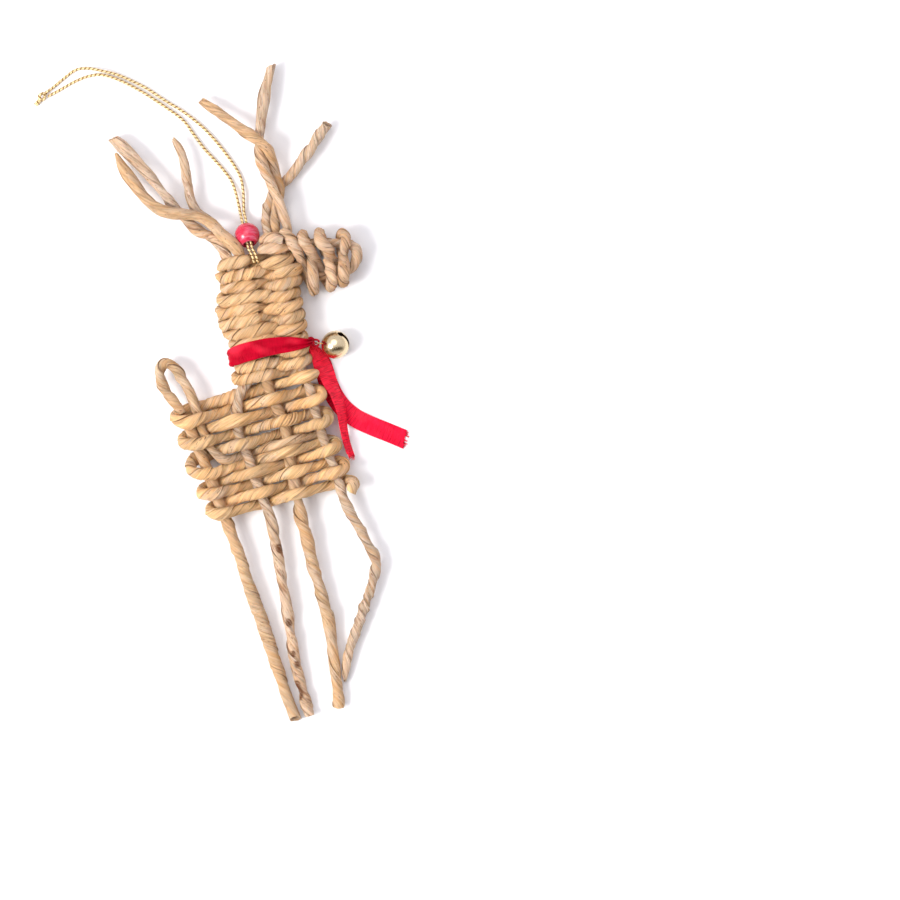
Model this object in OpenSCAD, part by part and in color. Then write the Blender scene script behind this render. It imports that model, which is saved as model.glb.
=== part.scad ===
// Woven reindeer ornament of twisted leaf cord, lying flat on its back side.
// +Z is up, +Y runs from the feet to the antlers, +X points to the snout.

/* [Leaf cord] */
// Diameter of the cord that weaves the body
body_cord_d = 3.6; // [3.3:0.1:3.6]
// Diameter of the cord that weaves the neck and the snout
neck_cord_d = 3.5; // [3.2:0.1:3.5]
// How full the cords of legs, tail and antlers are, as a part of their widest
stake_fullness = 1; // [0.9:0.02:1]

/* [Weave] */
// Spacing of the woven rows in the body
row_pitch = 3.8; // [3.8:0.05:3.9]
// Spacing of the woven rows in the neck
neck_pitch = 3.65; // [3.6:0.05:3.7]
// Gap left between cords that pass over each other
fit_gap = 0.1; // [0.05:0.05:0.2]

/* [Ribbon] */
// Width of the satin ribbon
ribbon_w = 6; // [5:0.5:7]
// Thickness of the satin ribbon
ribbon_t = 0.35; // [0.3:0.05:0.4]

/* [Bell] */
// Outer diameter of the jingle bell
bell_d = 9; // [8:0.25:9]
// Thickness of the bell's sheet metal
bell_wall = 0.45; // [0.4:0.05:0.6]
// Diameter of the loose pellet inside the bell
pellet_d = 3; // [2.5:0.25:3.25]

/* [Hanger] */
// Diameter of the wooden bead
bead_d = 8; // [7.5:0.25:8]
// Diameter of the bore through the bead
bead_bore_d = 2.8; // [2.6:0.1:3]
// Diameter of the metallic cord
gold_d = 1.0; // [0.8:0.1:1]

/* [Hidden] */

straw = "burlywood";
pale_straw = "wheat";
dark_straw = "tan";

// The points below are laid out from the nape of the neck; the origin of the
// finished piece is this much further towards the snout, mid-way across it
origin_x = 8;
// Height of the plane that all the stakes lie in
mid_z = 5.6;
cord_sides = 8;

// Each stake: points [x, y, height above the mid plane, diameter]
hind_outer_route = [
    [-20.5, -5, 0, 3.4], [-19.4, -12, 0, 3.5], [-18, -18, 0, 3.6],
    [-16.6, -25, 0, 3.6], [-15.4, -32, 0, 3.7], [-14.4, -39, -0.5, 3.8],
    [-12.8, -49, -1, 3.8], [-11.6, -58, -1.5, 3.8], [-9.8, -70, -2.2, 3.9],
    [-8.6, -80, -2.8, 3.9], [-7.2, -90, -3.2, 3.8], [-5.4, -103, -3.4, 3.7]
];
hind_inner_route = [
    [-0.5, -102, -3.6, 3.2], [-1.2, -93, -3.2, 3.2], [-1.8, -84, -2.8, 3.3],
    [-1.4, -75, -2.4, 3.2], [-1, -64, -1.9, 3.2], [-0.8, -54, -1.4, 3.1],
    [-0.8, -45, -0.9, 3.2], [-0.8, -38, -0.3, 3.2], [-1.8, -32, 0, 3.1],
    [-2.8, -26, 0, 3.1], [-4, -18, 0, 3.1], [-5.4, -10, 0, 3.1],
    [-4.7, -3, 0, 3.1], [-2.4, 3, 0, 3], [1.6, 7.6, 0, 3], [2.6, 12, 0, 3],
    [2.8, 18, 0, 3.1],
    [2.8, 28, 0, 3.1], [2.8, 38, 0, 3.1], [2, 44.5, 0, 3], [0.8, 49.5, 0.6, 3],
    [-1.6, 53, -0.6, 3], [-5.6, 56, -1.6, 3], [-9, 60, -1.7, 3],
    [-12, 65, -0.8, 3], [-14.6, 70, 0.2, 3], [-18, 76.5, 0, 3],
    [-21.6, 83, -0.8, 3.2], [-24.6, 87.2, -1.4, 3.6], [-27.2, 90.6, -1.8, 3.2]
];
fore_inner_route = [
    [9.2, -101.5, -3.5, 3.5], [10.4, -90, -3, 3.5], [11, -79, -2.5, 3.5],
    [10.8, -69, -2, 3.5], [9.9, -57, -1.4, 3.5], [9.2, -47, -0.9, 3.5],
    [8.8, -39, -0.4, 3.5], [9, -32, 0, 3.4], [8.8, -24, 0, 3.4],
    [9.4, -16, 0, 3.4], [9.3, -9, 0, 3.4], [7.8, -3, 0, 3.4],
    [6.6, 3, 0, 3.1], [5.9, 9, 0, 3.1], [6.2, 18, 0, 3.1], [6.4, 28, 0, 3.1],
    [6.4, 38, 0, 3.1], [5.8, 45, 0.3, 3], [4.6, 49, 1.6, 3],
    [1.4, 53.6, 2, 3], [-1, 57.4, 1.8, 3], [-5, 60.6, 1.6, 3.2],
    [-9.4, 62.2, 1.7, 3.5], [-14, 63.6, 1.6, 3.6], [-18, 66.4, 0.8, 3.6],
    [-21, 70.8, 0.2, 3.8], [-23.8, 76.4, -0.4, 3.8], [-26, 81.4, -0.9, 2.8],
    [-27.2, 85.6, -1.2, 1]
];
fore_bent_route = [
    [12.6, -94, -3.7, 0.9], [13.5, -90.6, -3.4, 2.2], [15.8, -84.6, -3.1, 2.8], [19.2, -79, -2.8, 2.8],
    [23, -72.4, -2.4, 2.9], [26.4, -66.4, -2, 2.9], [29, -61, -1.7, 2.9],
    [29.6, -57.4, -1.5, 2.9], [28.2, -52.6, -1.2, 2.9], [26.6, -47, -0.8, 2.9],
    [24.8, -42, -0.4, 2.9], [23.4, -36.5, -0.1, 2.9], [22.9, -31, 0, 2.9],
    [21.8, -24, 0, 2.9], [20.8, -16.5, 0, 2.9], [20, -9, 0, 2.9],
    [19.4, -1, 0, 2.9], [18.4, 6, 0, 2.8], [17.4, 13, 0, 2.7],
    [17.6, 20, 0, 2.8], [17.8, 30, 0, 2.8], [17.8, 40, 0, 2.8],
    [18.8, 44.4, 0, 2.7], [21, 47.4, 0, 2.7], [22.3, 51, 0.4, 2.9],
    [21.9, 56, 1.2, 3], [21.2, 60.6, 1.8, 3.1], [19.9, 66, 1.7, 3.1],
    [18.5, 72, 1.4, 3.2], [18, 77, -0.4, 3], [18.8, 81.6, -1.4, 2.8],
    [20.2, 86, -0.8, 3], [21.8, 91, -0.6, 3.1], [23.6, 96, -1, 3.1],
    [27.2, 103.8, -1.8, 2.7]
];

// The tail: up from the rump, round its loop, then back into the weave
tail_route = [
    [-21.7, -0.4, 0.8, 2.2], [-22.8, 1.8, 1, 2.7], [-24.2, 4.8, 0.8, 2.9],
    [-25.9, 8.4, 0.6, 2.9], [-26.8, 12, 0.4, 2.8], [-26.2, 15.4, 0.2, 2.8],
    [-23.9, 16.7, 0, 2.8], [-21.6, 14.6, 0.2, 2.9], [-20, 10.6, 0.4, 3],
    [-18.6, 6.6, 0.6, 3], [-17.7, 2.4, 0.6, 2.8], [-17.3, -2, 0.2, 2.6],
    [-16.8, -6.4, 0, 2.5], [-16, -10.6, 0, 2.5], [-14.4, -14.2, 1.6, 2.5],
    [-11.4, -17, 0.4, 2.7], [-8, -17.2, -1.8, 2.6], [-4.4, -16.7, -3.2, 2.5],
    [-0.6, -16.3, -2.4, 2.4], [2.4, -15.9, 0, 2.3], [5.4, -15.6, 2.2, 2.4],
    [9.2, -15.3, 3.1, 2.5], [12.4, -15.1, 2.2, 2.4], [15, -15, 0, 2.2],
    [17.6, -14.9, -2.2, 2.2], [20.6, -14.7, -2.9, 2.2]
];

// The weave's stakes from rump to chest: centre in a row, and diameter
stake_d = [3.5, 3.1, 3.4, 2.9];
function outer_stake_x(y) = -20.6 - 0.185 * (y + 4);
function second_stake_x(y) = y > -10 ? -5.4 + 0.12 * (y + 10) : -5.4 - 0.16 * (y + 10);
function third_stake_x(y) = y > -9 ? 9.3 - 0.22 * (y + 9) : 9.2;
function fourth_stake_x(y) = 19.4 - 0.11 * (y + 1);
function stake_x(stake, y) =
    stake == 0 ? outer_stake_x(y) :
    stake == 1 ? second_stake_x(y) :
    stake == 2 ? third_stake_x(y) : fourth_stake_x(y);
function lift(stake) = (body_cord_d + stake_d[stake]) / 2 + fit_gap;

// Rows sag towards the belly: how far each hangs below its even place
sag_rump = [0, 0, 0, 0, 0, 2.6, 2.5, 1.9, 1.4, 1];
sag_chest = [-0.4, 0, 0, 0, 0.2, 2.3, 1.7, 1.4, 1.3, 0.9];
body_rows = 10;
row_slope = 0.07;
top_row_y = 2.2;
// Turning places of the weaver beside the outermost stakes
rump_turn_x = [-24.4, -23.6, -22.6, -20.8, -19.2];
chest_turn_x = [23.2, 23.8, 24.7, 25.8];
turn_width = 0.86;
cross_width = 0.78;

function sag(row, x) =
    sag_rump[row] + (sag_chest[row] - sag_rump[row]) * (x + 20) / 42;
function row_y(row, x) = top_row_y - row * row_pitch + row_slope * x - sag(row, x);
function side_of(row, stake) =
    row == 0 ? (stake == 3 ? 1 : -1) : ((row + stake) % 2 == 1 ? 1 : -1);

// One point where a row crosses a stake
function crossing(row, stake) =
    let (guess = stake_x(stake, row_y(row, 0)), y = row_y(row, guess))
    [stake_x(stake, y), y, side_of(row, stake) * lift(stake), body_cord_d];

// One point half way between two stakes
function between(row, stake) =
    let (a = crossing(row, stake), b = crossing(row, stake + 1))
    [(a.x + b.x) / 2, (a.y + b.y) / 2, (a.z + b.z) / 2,
     body_cord_d * (a.z * b.z > 0 ? 1 : cross_width)];

// The upper rows keep level past the tail, which runs down beside the first stake
tail_leg_x = 3.9;
function beside_tail(row) =
    let (a = crossing(row, 0), x = a.x + tail_leg_x)
    [x, row_y(row, x), a.z * 0.9, body_cord_d];

function row_points(row) =
    let (order = row % 2 == 1 ? [0:1:3] : [3:-1:0], step = row % 2 == 1 ? 0 : -1)
    [for (stake = order, part = [0, 1]) each
        part == 0 ? [crossing(row, stake)] :
        stake + step < 0 || stake + step > 2 ? [] :
        stake + step > 0 || row > 4 ? [between(row, stake + step)] :
        step == 0 ? [beside_tail(row), between(row, 0)] : [between(row, 0), beside_tail(row)]];

// The weaver's turn round the outermost stake, from this row to the next
function turn_points(row) =
    let (stake = row % 2 == 0 ? 0 : 3,
         a = crossing(row, stake), b = crossing(row + 1, stake),
         x = row % 2 == 0 ? rump_turn_x[row / 2] : chest_turn_x[(row - 1) / 2],
         toward = row % 2 == 0 ? 1 : -1)
    [[x + toward * 0.6, a.y + (b.y - a.y) * 0.2, a.z * 0.62, body_cord_d * 0.92],
     [x, (a.y + b.y) / 2, (a.z + b.z) / 2, body_cord_d * turn_width],
     [x + toward * 0.6, b.y - (b.y - a.y) * 0.2, b.z * 0.62, body_cord_d * 0.92]];

body_route = concat(
    [[21.5, 4.4, -1.2, 2.4], [21.7, 4.3, 1.4, 2.8]],
    [for (row = [0 : body_rows - 1])
        each concat(row_points(row), row < body_rows - 1 ? turn_points(row) : [])],
    [[26.6, -31.8, -1.4, 3], [27.4, -33, 0.4, 2.8], [26.8, -34.8, 0.8, 2.2]]
);

// The neck: a tight figure of eight round two stakes at the back and one in front
neck_rows = 11;
neck_bottom_y = 6.8;
neck_back_x = [-3, -1, -1.2, -1.6, -1.8, -3, -3.6, -2.8, -0.6, -1.2, -1.6];
neck_front_x = [21.4, 20.5, 20.3, 20.5, 21, 21, 21.2, 21.2, 22.2, 22.8, 21];
neck_lift = 3.35;
// Where each row's strands dive between the middle stakes: the one that is in
// front on the nape side, and the one that is in front on the throat side
neck_dive_x = [11.6, 12.6, 10.8, 12.8, 13.2, 11, 10.6, 13.4, 11.4, 13, 10.8];
neck_rise_x = [11.6, 10.8, 12.4, 13, 11.2, 12.6, 10.6, 10.8, 12, 13.2, 11.4];
neck_cross_run = 2.3;
neck_cross_width = 0.5;
// The topmost row rides higher, so that the hanger can pass under it
neck_top_rise = 0.7;
function neck_front_stake_x(y) = y < 13 ? 17.4 + 0.14 * (13 - y) : 17.6;

function neck_cycle(k) =
    let (even_y = neck_bottom_y + k * neck_pitch, low = even_y - neck_pitch / 2,
         y = even_y + (k == neck_rows - 1 ? neck_top_rise : 0),
         last = even_y - neck_pitch, d = neck_cord_d,
         back = neck_back_x[k], next_back = neck_back_x[k - 1],
         front = neck_front_x[k], stake = neck_front_stake_x(y),
         dive = neck_dive_x[k], rise = neck_rise_x[k])
    concat(
        [[back + 0.7, y, neck_lift * 0.6, d * 0.9],
         [1.5, y, neck_lift, d], [6.5, y, neck_lift, d],
         [dive - neck_cross_run, y, neck_lift * 0.6, d * 0.7],
         [dive, y + (y - even_y) / 3, 0, d * neck_cross_width],
         [dive + neck_cross_run, y, -neck_lift * 0.6, d * 0.7],
         [stake, y, -neck_lift, d]],
        k == 0 ? [] :
        [[front - 0.5, y - 0.3, -neck_lift * 0.55, d * 0.86],
         [front, (y + low) / 2, 0, d * 0.8],
         [front - 0.5, low + 0.3, neck_lift * 0.55, d * 0.86],
         [stake, low, neck_lift, d],
         [rise + neck_cross_run, low, neck_lift * 0.6, d * 0.7],
         [rise, low, 0, d * neck_cross_width],
         [rise - neck_cross_run, low, -neck_lift * 0.6, d * 0.7],
         [6.5, low, -neck_lift, d], [1.5, low, -neck_lift, d],
         [next_back + 0.7, low - 0.2, -neck_lift * 0.6, d * 0.9],
         [min(back, next_back) - 0.1, last + 0.9, 0, d * 0.8]]
    );
neck_route = [for (k = [neck_rows - 1 : -1 : 0]) each neck_cycle(k)];

crown_route = [
    [12.2, 46.4, 1.6, 2.2], [13.2, 46.5, 2.6, 3], [15.4, 46.4, 3.3, 3.3],
    [18, 45.9, 3.4, 3.2], [20.2, 45.4, 2.5, 2.2], [22.7, 45.6, 0, 1.7],
    [21.4, 46.6, -2.6, 2.4], [18.4, 47.6, -3.4, 3], [16, 48.4, -3.3, 2.9],
    [14.2, 48.9, -2, 2.5], [13.4, 49.1, 0, 1.7], [14.1, 49.5, 2.2, 2.6],
    [16, 49.7, 3.3, 3.1], [18, 49.2, 3.4, 2.8]
];

snout_core_route = [
    [26, 45.6, 0, 2.3], [30, 45.2, 0, 2.5], [34, 44.7, 0, 2.6],
    [37.6, 43.7, 0, 2.6], [40.2, 42.9, 0, 2.8], [42.1, 41.6, 0, 3.1],
    [42.6, 39.6, 0, 3.1], [41.9, 37.2, 0, 3], [39.8, 35.2, 0, 2.8],
    [36, 34.2, 0, 2.6], [31, 34.2, 0, 2.5], [28, 34.8, 0, 2.2]
];

// The snout: passes down over the upper limb and up over the lower limb
snout_down_x = [[22.9, 24, 25.7, 26.5], [26.4, 28.2, 30.2, 31.6], [31.8, 33.6, 35.4, 36]];
snout_up_x = [[27, 27.4, 27.8, 27.2], [33.2, 33.2, 32.9, 32.2], [37, 37.8, 38, 38.4]];
snout_high = 3.4;
snout_top_turn_y = [49, 48.3, 46.8];
snout_low_turn_y = [30.4, 30.8, 31.2];
function snout_pass(x, ys, side) =
    let (d = neck_cord_d)
    [[x[0], ys[0], side * snout_high * 0.95, d * 0.95],
     [x[1], ys[1], side * snout_high * 0.75, d * 0.9],
     [(x[1] + x[2]) / 2, 40.2, 0, d * 0.62],
     [x[2], ys[2], -side * snout_high * 0.75, d * 0.9],
     [x[3], ys[3], -side * snout_high, d * 0.95]];
function snout_down_y(i) =
    let (top = i == 0 ? 49.4 : snout_top_turn_y[i - 1]) [top - 2.4, top - 5.6, 36.6, 33.4];
function snout_up_y(i) = let (top = snout_top_turn_y[i]) [33.4, 36.6, top - 5.6, top - 2.6];
snout_route = concat(
    [[21, 50.8, 2.8, 2.8]],
    [for (i = [0:2]) each concat(
        snout_pass(snout_down_x[i], snout_down_y(i), 1),
        [[(snout_down_x[i][3] + snout_up_x[i][0]) / 2, snout_low_turn_y[i], 0, 3]],
        snout_pass(snout_up_x[i], snout_up_y(i), 1),
        [[(snout_up_x[i][3] + (i < 2 ? snout_down_x[i + 1][0] : 40)) / 2,
          snout_top_turn_y[i], 0, i < 2 ? 3 : 2.7]])],
    [[39.9, 44.8, 2.7, 2.9], [39.3, 42.8, 3.2, 2.9], [38.5, 41, 1.8, 2.2]]
);

// Third tine of the rear antler, tucked in behind its trunk
rear_tine_route = [
    [-3.4, 60.4, -2, 2.2], [-5.6, 63.4, -1.9, 2.6], [-6.2, 66.4, -1.2, 2.8],
    [-6.4, 70, -0.4, 2.9], [-6.4, 75, -0.2, 2.9], [-6.4, 80, -0.5, 2.8],
    [-7.2, 84, -0.9, 2.5], [-8.2, 86.6, -1.2, 1.2]
];
// Front antler: the left tine winds up the trunk, the right tine leaves it low
front_left_route = [
    [18.7, 50.6, -0.6, 2.2], [18.7, 53.6, -0.6, 2.5], [19.2, 57.4, -0.9, 2.6],
    [21, 61.4, -1.5, 2.6], [22.4, 65.4, -1.5, 2.8], [21.8, 69.6, -1.2, 3],
    [21.3, 74, -0.5, 3], [20.4, 78, 1.8, 3], [17.8, 81.4, 1.8, 3],
    [15, 84.2, 0.9, 3], [12, 87.6, 0.2, 3], [8.6, 91.2, -0.4, 3],
    [5.6, 94.4, -1, 3], [3, 97.2, -1.4, 2.2]
];
front_right_route = [
    [15.9, 46.8, 0, 2.3], [15.8, 51, -0.6, 2.7], [16, 55.4, -1.4, 2.8],
    [17.2, 59.4, -2.4, 2.9], [19.4, 63, -3.9, 2.8], [22.6, 65.4, -4.1, 2.7],
    [25.4, 67.4, -2.6, 2.9], [28.8, 70.2, -1.4, 3], [31.6, 72.8, -1, 3],
    [34.6, 75.4, -1, 3], [38, 79, -1.4, 2.9], [41.2, 82, -1.8, 2.6]
];

// Ribbon round the neck: points [x, y, z, width factor]
collar_route = [
    [23, 14.5, 7.4, 0.3], [22.4, 14.5, 9.3, 0.42], [20.6, 14.5, 10.8, 0.55],
    [16, 15, 11.05, 0.8],
    [9, 15.5, 11.05, 0.95], [2, 15.2, 11.05, 1], [-1.4, 14.7, 10.7, 1],
    [-3.1, 14.4, 9.4, 0.9], [-3.7, 14.2, 7.6, 0.85], [-3.8, 14.1, 5.4, 0.8],
    [-3.6, 14.1, 3.2, 0.85], [-2.9, 14.1, 1.4, 0.9], [-1.2, 14.2, 0.4, 1],
    [6, 14.3, 0.27, 1], [15, 14.2, 0.27, 0.9], [20.4, 14, 0.4, 0.6],
    [22.1, 14, 1.8, 0.4], [22.7, 14.1, 3.6, 0.35], [23, 14.3, 5.2, 0.3]
];
knot_centre = [23.2, 14.9, 6.6];
knot_d = 2.7;

// Ribbon tails: points [x, y, z, roll about the run, width factor]
long_tail_route = [
    [22.7, 13.7, 5.6, -10, 0.3], [23, 12.2, 4, -20, 0.55], [24, 10.4, 2.6, -25, 0.75],
    [24.5, 8.4, 2.4, -25, 0.9], [24.9, 6.2, 2.4, -28, 1], [25.8, 3.2, 2.8, -38, 1],
    [26.5, 0, 3.4, -48, 1], [27.3, -3.4, 3.5, -54, 1], [27.9, -6.8, 3.5, -58, 1],
    [28.1, -10.4, 3.4, -60, 0.95], [28, -14, 3.1, -62, 0.85], [28, -18, 2.9, -62, 0.7],
    [28.2, -21, 2.9, -60, 0.62], [28.5, -23.6, 2.8, -58, 0.6]
];
short_tail_route = [
    [22.9, 13.6, 5.1, 0, 0.25], [23.2, 12.2, 2.6, 0, 0.4], [24, 10.2, 1, 0, 0.6],
    [24.8, 8, 0.5, 0, 0.9],
    [25.2, 4.4, 0.35, 0, 1], [25.6, 0.8, 0.35, 0, 1], [26.6, -3.4, 0.35, 0, 1],
    [28.8, -8.2, 0.35, 0, 1], [32.2, -12.2, 0.35, 0, 1], [36.6, -15.5, 0.35, 0, 1],
    [41.4, -18.6, 0.35, 0, 1], [46.2, -21.8, 0.35, 0, 1]
];

// Bell: it hangs from its shank, which turns on the tie's straight run
bell_hinge = [25, 13.7, 3.9];
bell_heading = -16;
bell_dip = -8;
bell_roll = -60;
shank_r = 1.05;
shank_wire_d = 0.5;
shank_sink = 0.35;
bell_reach = shank_r + shank_wire_d / 2 + bell_d / 2 - shank_sink;
bell_slot_w = 1.4;
bell_hole_d = 2.2;
// Angle of the slot's round ends from the bell's axis
bell_hole_angle = 66;
bell_rim = 0.08;
tie_d = 0.6;
tie_route = [
    [-2.3, 0.5, 1.8], [-1.5, 1, 0.9], [-0.5, 1, 0.1], [0, 0.7, 0], [0, 0.3, 0],
    [0, -0.3, 0], [0, -0.7, 0], [-0.4, -0.9, 0.2], [-1.3, -0.9, 1], [-2.2, 0, 2.1]
];

// Bead: its axis follows the doubled cord out of the crown
bead_centre = [9.2, 52, 5.5];
bead_turn = 2;
bead_dip = 28;
bead_flat = 0.9;
strand_shift = 0.6;
strand_start = -4.8;
strand_end = 8.6;
// Middle of the doubled cord between the bead and the gap it dives into
doubled_run = [[10.4, 42.85, 7.9], [10.4, 43.2, 8.8], [10.2, 44.4, 9.1], [9.9, 45.8, 8.4]];

// Metallic cord: free runs after the bead, points [x, y, z]
right_run = [
    [10.5, 65.6, 1.4], [10.6, 70.3, 0.7], [9.3, 74.8, 0.6], [6.6, 80.6, 0.6],
    [3.8, 85.6, 0.6], [0.8, 90, 0.6], [-3.6, 95, 0.6], [-8.4, 99.4, 0.6],
    [-14.2, 105, 0.6], [-21.4, 110.2, 0.8], [-26.6, 112.7, 1.8],
    [-31.2, 114.4, 0.9], [-35, 114.5, 0.6], [-39.2, 112.5, 0.6],
    [-43, 110.4, 1], [-45.4, 109.3, 1.4]
];
left_run = [
    [8.2, 65, 1.4], [7.6, 69.6, 0.7], [6, 73.4, 0.6], [3.2, 78.2, 0.6],
    [0.8, 82.2, 0.6], [-1.4, 86.8, 0.6], [-4.2, 92.4, 0.6], [-9.4, 98, 0.6],
    [-15.4, 103.8, 0.6], [-21.8, 108.8, 0.6], [-26.8, 111.4, 0.6],
    [-31, 111.8, 0.6], [-35.6, 111, 0.6], [-40.4, 109.4, 0.8],
    [-45, 107.9, 1.2]
];
gold_knot_centre = [-47, 108.2, 1.4];
gold_knot_d = 2.4;

// ---- shared geometry -------------------------------------------------

function unit(v) = v / norm(v);
function place(p) = [p.x, p.y, p.z];

// Smooth curve through the points, evened to a number of steps between them
function curve_at(p, i, t) =
    let (n = len(p) - 1, a = p[max(i - 1, 0)], b = p[i], c = p[i + 1], e = p[min(i + 2, n)])
    0.5 * (2 * b + (c - a) * t + (2 * a - 5 * b + 4 * c - e) * t * t
           + (3 * b - a - 3 * c + e) * t * t * t);
function smooth(p, steps) = concat(
    [for (i = [0 : len(p) - 2], s = [0 : steps - 1]) curve_at(p, i, s / steps)],
    [p[len(p) - 1]]);

function runs(p) = [for (i = [0 : len(p) - 1])
    unit(place(p[min(i + 1, len(p) - 1)]) - place(p[max(i - 1, 0)]))];

// Side directions carried along the run without twisting
function sides_along(t) = [
    for (i = 0, s = unit(cross(t[0], [0, 0, 1])); i < len(t);
         i = i + 1, s = unit(s - (s * t[min(i, len(t) - 1)]) * t[min(i, len(t) - 1)]))
    s
];

// Faces of a tube of closed rings: triangles along it, and a cap at both ends
function tube_faces(rings, n) = concat(
    [for (k = [1 : n - 2]) [0, k + 1, k]],
    [for (i = [0 : rings - 2], k = [0 : n - 1], half = [0, 1])
        let (a = i * n + k, b = i * n + (k + 1) % n)
        half == 0 ? [a, b, b + n] : [a, b + n, a + n]],
    [for (k = [1 : n - 2]) [0, k, k + 1] + (rings - 1) * n * [1, 1, 1]]
);

// A round cord swept along [x, y, z, diameter] points
module cord(points, steps) {
    path = smooth(points, steps);
    t = runs(path);
    side = sides_along(t);
    polyhedron(
        [for (i = [0 : len(path) - 1], k = [0 : cord_sides - 1])
            let (a = 360 * (k + 0.5) / cord_sides, up = cross(side[i], t[i]))
            place(path[i]) + path[i][3] / 2 * (cos(a) * side[i] + sin(a) * up)],
        tube_faces(len(path), cord_sides), convexity = 10);
}

module laid() {
    translate([-origin_x, 0, 0]) children();
}

module leaf_cord(points, steps, shade, fullness = 1) {
    color(shade) laid() translate([0, 0, mid_z])
        cord([for (p = points) [p.x, p.y, p.z, p[3] * fullness]], steps);
}

// A flat ribbon swept along points, its width along `across` at each point
module band(path, across, widths) {
    t = runs(path);
    polyhedron(
        [for (i = [0 : len(path) - 1], c = [[1, -1], [1, 1], [-1, 1], [-1, -1]])
            let (w = unit(across[i] - (across[i] * t[i]) * t[i]), up = cross(w, t[i]))
            place(path[i]) + c[0] * widths[i] / 2 * w + c[1] * ribbon_t / 2 * up],
        tube_faces(len(path), 4), convexity = 10);
}

module ribbon_tail(points) {
    path = smooth(points, 2);
    t = runs(path);
    level = [for (v = t) unit(cross([0, 0, 1], v))];
    across = [for (i = [0 : len(path) - 1])
        cos(path[i][3]) * level[i] + sin(path[i][3]) * cross(t[i], level[i])];
    color("crimson") laid() band(path, across, [for (p = path) ribbon_w * p[4]]);
}

// ---- leaf cord parts -------------------------------------------------

module hind_outer_leg() { leaf_cord(hind_outer_route, 3, straw, stake_fullness); }
module hind_inner_leg() { leaf_cord(hind_inner_route, 2, dark_straw, stake_fullness); }
module fore_inner_leg() { leaf_cord(fore_inner_route, 2, straw, stake_fullness); }
module fore_bent_leg() { leaf_cord(fore_bent_route, 2, pale_straw, stake_fullness); }
module tail_loop() { leaf_cord(tail_route, 2, pale_straw, stake_fullness); }
module body_weaver() { leaf_cord(body_route, 2, straw); }
module neck_weaver() { leaf_cord(neck_route, 1, straw); }
module crown_wrap() { leaf_cord(crown_route, 2, dark_straw); }
module snout_core() { leaf_cord(snout_core_route, 2, pale_straw); }
module snout_weaver() { leaf_cord(snout_route, 2, dark_straw); }
module rear_antler_tine() { leaf_cord(rear_tine_route, 2, pale_straw, stake_fullness); }
module front_antler_left_tine() { leaf_cord(front_left_route, 2, dark_straw, stake_fullness); }
module front_antler_right_tine() { leaf_cord(front_right_route, 2, pale_straw, stake_fullness); }

// ---- ribbon ----------------------------------------------------------

module ribbon_collar() {
    path = smooth(collar_route, 2);
    color("crimson") laid()
        band(path, [for (p = path) [0, 1, 0]], [for (p = path) ribbon_w * p[3]]);
}

module ribbon_knot() {
    color("firebrick") laid() translate(knot_centre) hull() {
        translate([0, -0.5, -0.5]) sphere(d = knot_d - 0.4, $fn = 20);
        translate([0, 0.4, 0.5]) sphere(d = knot_d - 0.5, $fn = 20);
    }
}

module ribbon_tail_long() { ribbon_tail(long_tail_route); }
module ribbon_tail_short() { ribbon_tail(short_tail_route); }

// ---- bell ------------------------------------------------------------

// Places a bell piece: local +Z runs from the shank to the slot
module bell_place() {
    laid() translate(bell_hinge) rotate([0, 0, bell_heading]) rotate([0, 90 + bell_dip, 0])
        children();
}

module half_shell(gap) {
    rotate_extrude($fn = 64) difference() {
        union() {
            circle(d = bell_d, $fn = 64);
            translate([bell_d / 2 - bell_wall, gap]) square([bell_wall + bell_rim, 0.3]);
        }
        circle(d = bell_d - 2 * bell_wall, $fn = 64);
        translate([-bell_d, -bell_d]) square([bell_d, 2 * bell_d]);
        translate([-1, -bell_d]) square([2 * bell_d, bell_d + gap]);
    }
}

module bell_tie() {
    color("crimson") laid() translate(bell_hinge) rotate([0, 0, bell_heading])
        cord([for (p = tie_route) [p.x, p.y, p.z, tie_d]], 2);
}

module bell_shank() {
    color("goldenrod") bell_place() rotate([90, 0, 0])
        rotate_extrude($fn = 48) translate([shank_r, 0]) circle(d = shank_wire_d, $fn = 24);
}

module bell_cap() {
    color("goldenrod") bell_place() translate([0, 0, bell_reach]) mirror([0, 0, 1])
        half_shell(0.02);
}

module bell_cup() {
    color("gold") bell_place() translate([0, 0, bell_reach]) difference() {
        half_shell(0.02);
        rotate([0, 0, bell_roll]) {
            translate([-bell_d / 2, -bell_slot_w / 2, 1.8])
                cube([bell_d, bell_slot_w, bell_d]);
            for (end = [-1, 1]) rotate([0, end * bell_hole_angle, 0])
                cylinder(d = bell_hole_d, h = bell_d, $fn = 32);
        }
    }
}

module bell_pellet() {
    color("gray") bell_place() translate([0, 0, bell_reach]) sphere(d = pellet_d, $fn = 32);
}

// ---- hanger ----------------------------------------------------------

// Places a piece on the bead's axis: local +Z runs away from the crown
module bead_place() {
    laid() translate(bead_centre) rotate([0, 0, bead_turn]) rotate([-90 - bead_dip, 0, 0])
        children();
}

module bead() {
    color("palevioletred") bead_place() difference() {
        intersection() {
            sphere(d = bead_d, $fn = 64);
            cube([2 * bead_d, 2 * bead_d, bead_d * bead_flat], center = true);
        }
        cylinder(d = bead_bore_d, h = 2 * bead_d, center = true, $fn = 48);
    }
}

// A point on the bead's axis, moved sideways to one strand's place
function on_axis(along, shift) =
    let (run = [-sin(bead_turn) * cos(bead_dip), cos(bead_turn) * cos(bead_dip), -sin(bead_dip)],
         over = [cos(bead_turn), sin(bead_turn), 0])
    bead_centre + along * run + shift * over;

function strand(shift, run) = [
    for (p = concat([for (p = doubled_run) p + [shift, 0, 0]],
                    [for (along = [strand_start, -3.8, 0, 3.8, 6.6, strand_end])
                        on_axis(along, shift)], run))
    [p.x, p.y, p.z, gold_d]
];

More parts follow.
